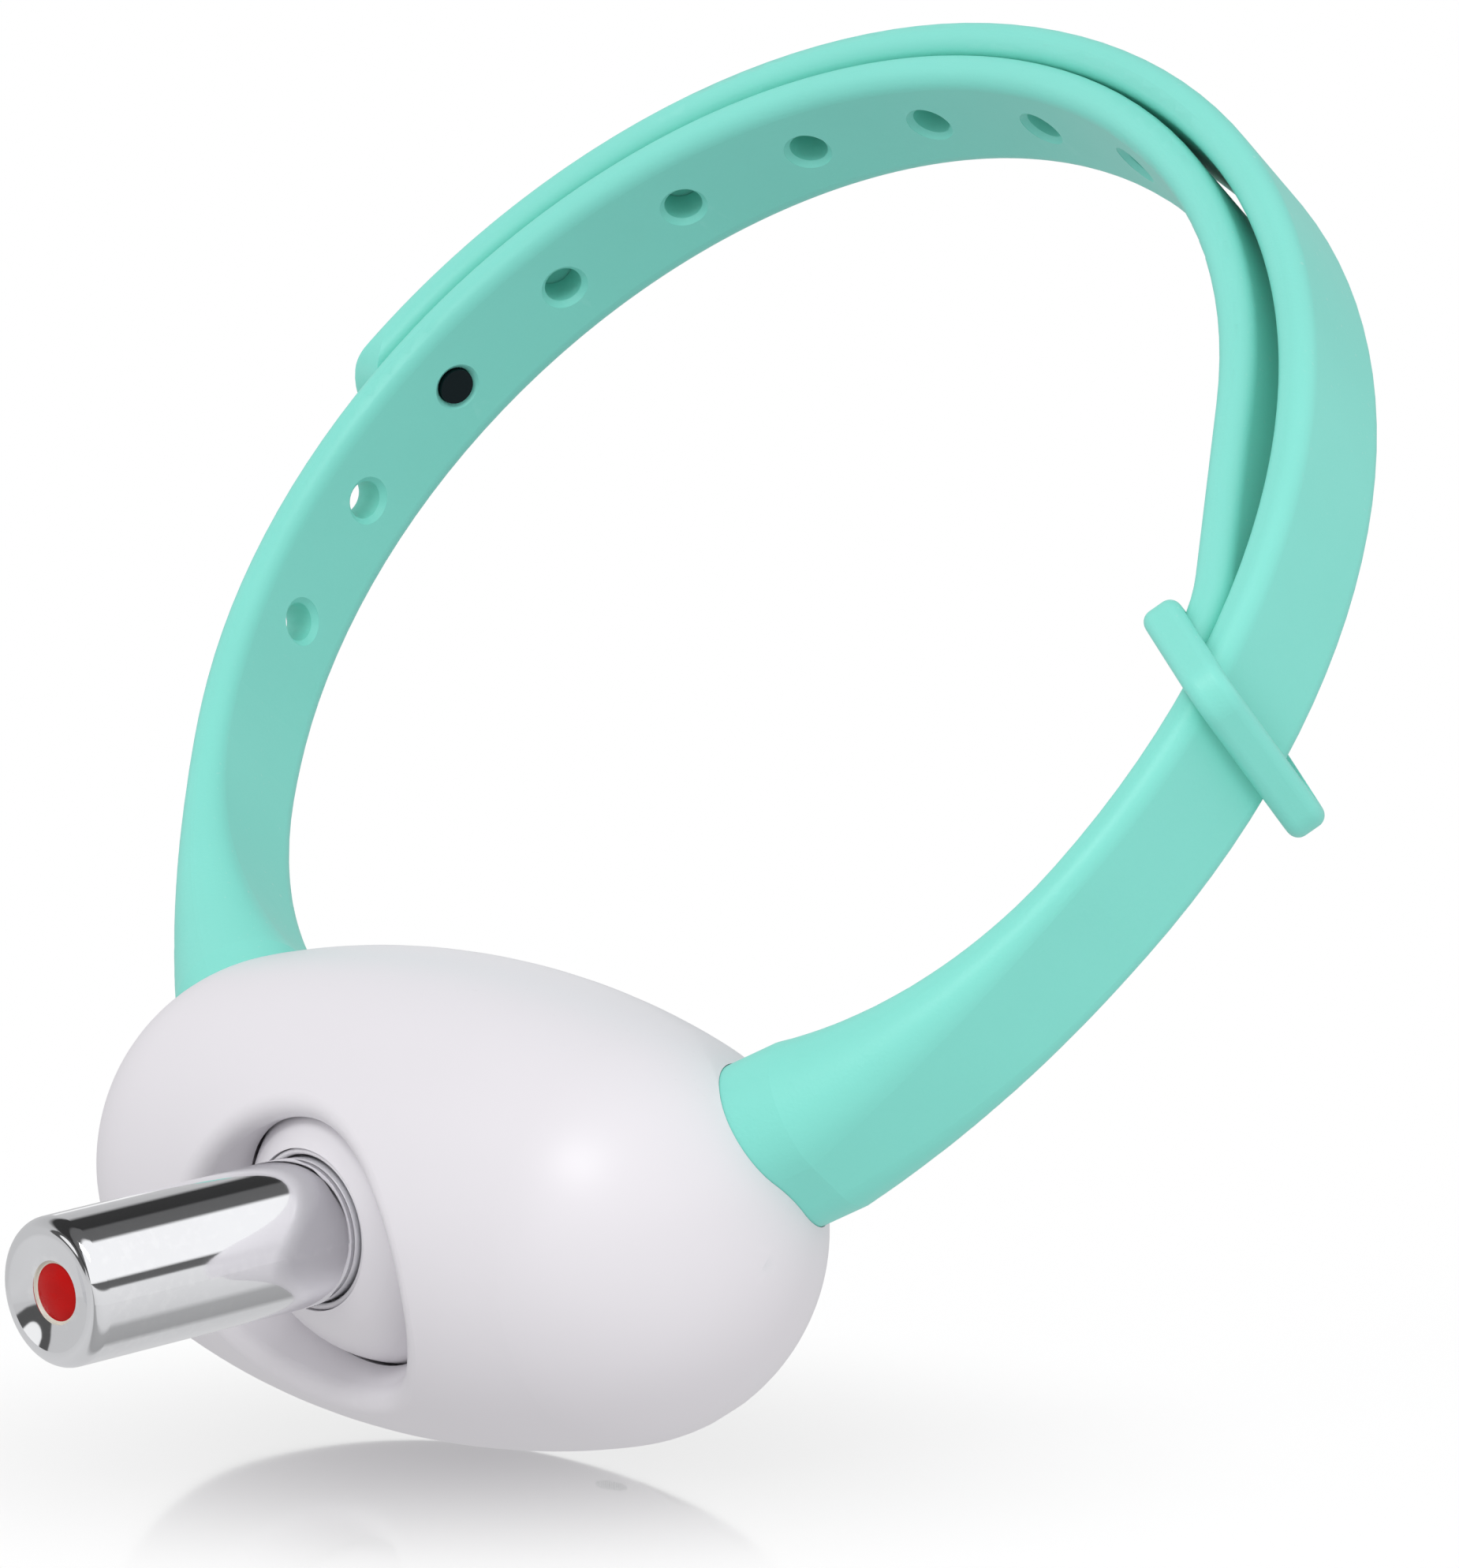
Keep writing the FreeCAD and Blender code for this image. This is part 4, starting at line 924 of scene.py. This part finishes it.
@dataclass(frozen=True)
class View:
    """The main camera's place and axes in the shared frame."""

    place: Vector = Vector((0.42004, -0.37392, -0.19809))
    right: Vector = Vector((0.6994, 0.5420, 0.4659))
    up: Vector = Vector((-0.1198, -0.5537, 0.8240))
    back: Vector = Vector((0.7046, -0.6322, -0.3224))
    lens: float = 212.93
    sensor: float = 36.0
    near: float = 0.01
    far: float = 20.0

    def at(self, right: float, up: float, back: float, middle: Vector) -> Vector:
        """Place given along the camera's axes from a middle point.

        Args:
            right: Metres to the right.
            up: Metres up in the picture.
            back: Metres towards the camera.
            middle: Point that the distances start from.

        Returns:
            The place in the shared frame.
        """
        return middle + self.right * right + self.up * up + self.back * back

    def build(self) -> None:
        """Make the camera and set it as the scene's."""
        data = bpy.data.cameras.new("main_camera")
        data.lens = self.lens
        data.sensor_width = self.sensor
        data.clip_start = self.near
        data.clip_end = self.far
        camera = bpy.data.objects.new("main_camera", data)
        axes = Matrix((self.right, self.up, self.back)).transposed()
        camera.matrix_world = Matrix.Translation(self.place) @ axes.to_4x4()
        bpy.context.scene.collection.objects.link(camera)
        bpy.context.scene.camera = camera


@dataclass(frozen=True)
class Band:
    """Mark on the ramp round the barrel: a turn in degrees and the grey of the card there."""

    turn: float
    grey: float


CARDS = (
    Band(-180.0, 0.62), Band(-150.0, 0.66), Band(-112.0, 0.62), Band(-101.0, 0.36),
    Band(-74.0, 0.40), Band(-64.0, 0.66), Band(-30.0, 0.76), Band(-12.0, 0.80),
    Band(-9.5, 0.13), Band(0.0, 0.12), Band(3.5, 1.0), Band(62.0, 1.0), Band(67.0, 0.13),
    Band(88.0, 0.12), Band(92.0, 0.035), Band(118.0, 0.04), Band(126.0, 0.50), Band(150.0, 0.58),
)


@dataclass(frozen=True)
class Spot:
    """Round card: where it stands, its outer and inner angle in degrees and its grey."""

    way: Vector
    outer: float
    inner: float
    grey: float


@dataclass(frozen=True)
class Softbox:
    """Rectangular lamp, placed along the camera's axes from the middle, in metres and watts."""

    name: str
    offset: tuple[float, float, float]
    width: float
    height: float
    watts: float
    mirrored: bool = False


SOFTBOXES = (
    Softbox("key_softbox", (-0.22, 0.46, 0.60), 0.30, 0.22, 1.6, mirrored=True),
    Softbox("side_softbox", (-0.70, 0.35, 0.10), 0.5, 0.5, 0.5),
    Softbox("low_strip", (0.101, -0.2125, 0.2725), 0.012, 0.24, 0.155),
    Softbox("right_strip", (0.27, -0.007, 0.238), 0.012, 0.16, 0.08),
)


@dataclass
class Studio:
    """Floor, background, softboxes and the cards that the chrome mirrors."""

    view: View
    middle: Vector = Vector((0.0, 0.0, -0.02))
    floor_tilt: float = math.radians(6.0)
    floor_gap: float = 0.0003
    floor_half: float = 3.0
    mirror_share: float = 0.9
    mirror_roughness: float = 0.08
    mirror_reach: float = 0.053
    shadow_reach: float = 0.16
    floor_matt: float = 0.08
    spot_dip: float = math.radians(4.5)
    barrel_axis: Vector = BARREL_AXIS
    card_blue: float = 1.01
    front_card: Vector = Vector((-0.456, -0.794, -0.405))
    light_level: float = 0.71
    light_lean: Vector = Vector((0.02, -0.11, 0.16))
    light_tint: tuple[float, float, float, float] = (1.0, 0.985, 1.0, 1.0)

    def build(self) -> None:
        """Make the whole studio."""
        self._world()
        self._floor()
        for softbox in SOFTBOXES:
            self._lamp(softbox)
        bpy.context.scene.view_settings.view_transform = "Standard"

    def _dot(self, sheet: Sheet, direction: Socket, axis: Vector) -> Socket:
        """Part of a direction along an axis.

        Args:
            sheet: Nodes that get the product.
            direction: Socket of the direction.
            axis: Axis in the shared frame.

        Returns:
            The product's output.
        """
        node = sheet.add("ShaderNodeVectorMath", operation="DOT_PRODUCT", in_1=tuple(axis))
        sheet.wire(direction, node.inputs[0])
        return node.outputs["Value"]

    def _cards(self, sheet: Sheet, direction: Socket) -> Socket:
        """Long cards beside the barrel, as a grey for each turn round its axis.

        Args:
            sheet: The world's nodes.
            direction: Socket of the direction looked in.

        Returns:
            The grey's output.
        """
        axis = self.barrel_axis.normalized()
        side = (self.view.back - axis * self.view.back.dot(axis)).normalized()
        turn = sheet.maths("ARCTAN2", self._dot(sheet, direction, axis.cross(side)),
                           self._dot(sheet, direction, side))
        share = sheet.spread(turn, -math.pi, math.pi, straight=True)
        ramp = sheet.add("ShaderNodeValToRGB")
        marks = ramp.color_ramp.elements
        marks_at_first = len(marks)
        for index, band in enumerate(CARDS):
            place = (band.turn + 180.0) / 360.0
            mark = marks[index] if index < marks_at_first else marks.new(place)
            mark.position = place
            mark.color = (band.grey, band.grey, band.grey * self.card_blue, 1.0)
        sheet.wire(share, ramp.inputs[0])
        return ramp.outputs[0]

    def _spots(self) -> tuple[Spot, ...]:
        """Round cards: a dark ring before the barrel's mouth, and white behind the floor.

        Returns:
            The cards, from the lowest up.
        """
        floor = self._floor_normal()
        dip = self.spot_dip
        behind = -(self.view.back * math.cos(dip) + self.view.up * math.sin(dip))
        return (
            Spot(self.front_card, outer=19.0, inner=17.0, grey=0.09),
            Spot(self.front_card, outer=9.5, inner=8.0, grey=0.95),
            Spot(behind - floor * 2 * behind.dot(floor), outer=7.5, inner=5.5, grey=1.0),
        )

    def _spot(self, sheet: Sheet, direction: Socket, under: Socket, spot: Spot) -> Socket:
        """Lay a round card over the others.

        Args:
            sheet: The world's nodes.
            direction: Socket of the direction looked in.
            under: Socket of the colour seen so far.
            spot: The round card.

        Returns:
            The colour's output.
        """
        near = self._dot(sheet, direction, spot.way.normalized())
        edges = (math.cos(math.radians(spot.outer)), math.cos(math.radians(spot.inner)))
        share = sheet.spread(near, *edges)
        return sheet.blend(share, under, (spot.grey, spot.grey, spot.grey))

    def _floor_normal(self) -> Vector:
        """Upward normal of the floor."""
        return self.view.up * math.cos(self.floor_tilt) + self.view.back * math.sin(self.floor_tilt)

    def _world(self) -> None:
        """White to the camera, cards in reflections, a soft leaning dome as light."""
        world = bpy.data.worlds.new("studio_world")
        bpy.context.scene.world = world
        world.use_nodes = True
        world.node_tree.nodes.clear()
        sheet = Sheet(world.node_tree)
        path = sheet.add("ShaderNodeLightPath")
        direction = sheet.add("ShaderNodeTexCoord").outputs["Generated"]
        level = sheet.maths("ADD", self._dot(sheet, direction, self.light_lean), self.light_level)
        dome = sheet.add("ShaderNodeBackground", in_0=self.light_tint)
        sheet.wire(level, dome.inputs[1])
        cards = sheet.add("ShaderNodeBackground", in_1=1.0)
        seen = self._cards(sheet, direction)
        for spot in self._spots():
            seen = self._spot(sheet, direction, seen, spot)
        sheet.wire(seen, cards.inputs[0])
        white = sheet.add("ShaderNodeBackground", in_0=WHITE, in_1=1.0)
        plain = sheet.maths("MAXIMUM", path.outputs["Is Camera Ray"],
                            path.outputs["Is Transmission Ray"])
        lit = sheet.mix(path.outputs["Is Glossy Ray"], dome.outputs[0], cards.outputs[0])
        output = sheet.add("ShaderNodeOutputWorld")
        sheet.wire(sheet.mix(plain, lit, white.outputs[0]), output.inputs["Surface"])

    def _plane(self, name: str, place: Vector, facing: Vector, width: float, height: float,
               material: bpy.types.Material) -> bpy.types.Object:
        """Make a flat rectangle that faces a way.

        Args:
            name: Name of the object.
            place: Its middle.
            facing: Way that its front faces.
            width: Width in metres.
            height: Height in metres.
            material: Its material.

        Returns:
            The object.
        """
        mesh = bpy.data.meshes.new(name)
        x, y = width / 2, height / 2
        mesh.from_pydata([(-x, -y, 0), (x, -y, 0), (x, y, 0), (-x, y, 0)], [], [(0, 1, 2, 3)])
        mesh.materials.append(material)
        plane = bpy.data.objects.new(name, mesh)
        turn = facing.to_track_quat("Z", "Y").to_matrix().to_4x4()
        plane.matrix_world = Matrix.Translation(place) @ turn
        bpy.context.scene.collection.objects.link(plane)
        return plane

    def _lowest(self, upwards: Vector) -> Vector:
        """Point of the object that the floor touches.

        Args:
            upwards: The floor's normal.

        Returns:
            The vertex of the CAD nodes that is lowest along the normal.
        """
        corners = (corner.co for piece in frame["nodes"].values() for corner in piece.data.vertices)
        return min(corners, key=lambda place: place.dot(upwards)).copy()

    def _floor(self) -> None:
        """Floor with a faint mirror image and shadow near the object, and clear elsewhere."""
        material = bpy.data.materials.new("floor_white")
        material.use_nodes = True
        material.node_tree.nodes.clear()
        sheet = Sheet(material.node_tree)
        shape = sheet.add("ShaderNodeNewGeometry")
        place = sheet.add("ShaderNodeTexCoord")
        reach = sheet.add("ShaderNodeVectorMath", operation="LENGTH")
        sheet.wire(place.outputs["Object"], reach.inputs[0])
        clear = sheet.add("ShaderNodeBsdfTransparent")
        matt = sheet.add("ShaderNodeBsdfDiffuse", in_0=WHITE)
        gloss = sheet.add("ShaderNodeBsdfGlossy", in_1=self.mirror_roughness)
        matt_share = sheet.spread(reach.outputs["Value"], self.mirror_reach, self.shadow_reach,
                                  to_low=self.floor_matt, to_high=0.0)
        gloss_share = sheet.spread(reach.outputs["Value"], 0.0, self.mirror_reach,
                                   to_low=self.mirror_share, to_high=0.0)
        shaded = sheet.mix(matt_share, clear.outputs[0], matt.outputs[0])
        front = sheet.mix(gloss_share, shaded, gloss.outputs[0])
        sides = sheet.mix(shape.outputs["Backfacing"], front, clear.outputs[0])
        output = sheet.add("ShaderNodeOutputMaterial")
        sheet.wire(sides, output.inputs["Surface"])
        normal = self._floor_normal()
        size = 2 * self.floor_half
        foot = self._lowest(normal) - normal * self.floor_gap
        floor = self._plane("floor", foot, normal, size, size, material)
        floor.visible_diffuse = False
        floor.visible_glossy = False
        floor.visible_shadow = False

    def _lamp(self, softbox: Softbox) -> None:
        """Make a softbox's lamp, turned to the object.

        Args:
            softbox: The lamp's place, size and power.
        """
        data = bpy.data.lights.new(softbox.name, "AREA")
        data.shape = "RECTANGLE"
        data.size = softbox.width
        data.size_y = softbox.height
        data.energy = softbox.watts
        lamp = bpy.data.objects.new(softbox.name, data)
        lamp.visible_glossy = softbox.mirrored
        place = self.view.at(*softbox.offset, self.middle)
        turn = (place - self.middle).to_track_quat("Z", "Y").to_matrix().to_4x4()
        lamp.matrix_world = Matrix.Translation(place) @ turn
        bpy.context.scene.collection.objects.link(lamp)


def main() -> None:
    """Dress the frame, add the small pieces and build the studio."""
    logging.basicConfig(level=logging.INFO, format="%(name)s: %(message)s")
    CadDressing().dress()
    for assembly in (BarrelCollar(), PortInside(), BoardParts()):
        for piece in assembly.build():
            LOG.info("%s: %d faces on %s", piece.name, len(piece.data.polygons), assembly.body)
    view = View()
    view.build()
    Studio(view).build()


if __name__ == "__main__":
    main()
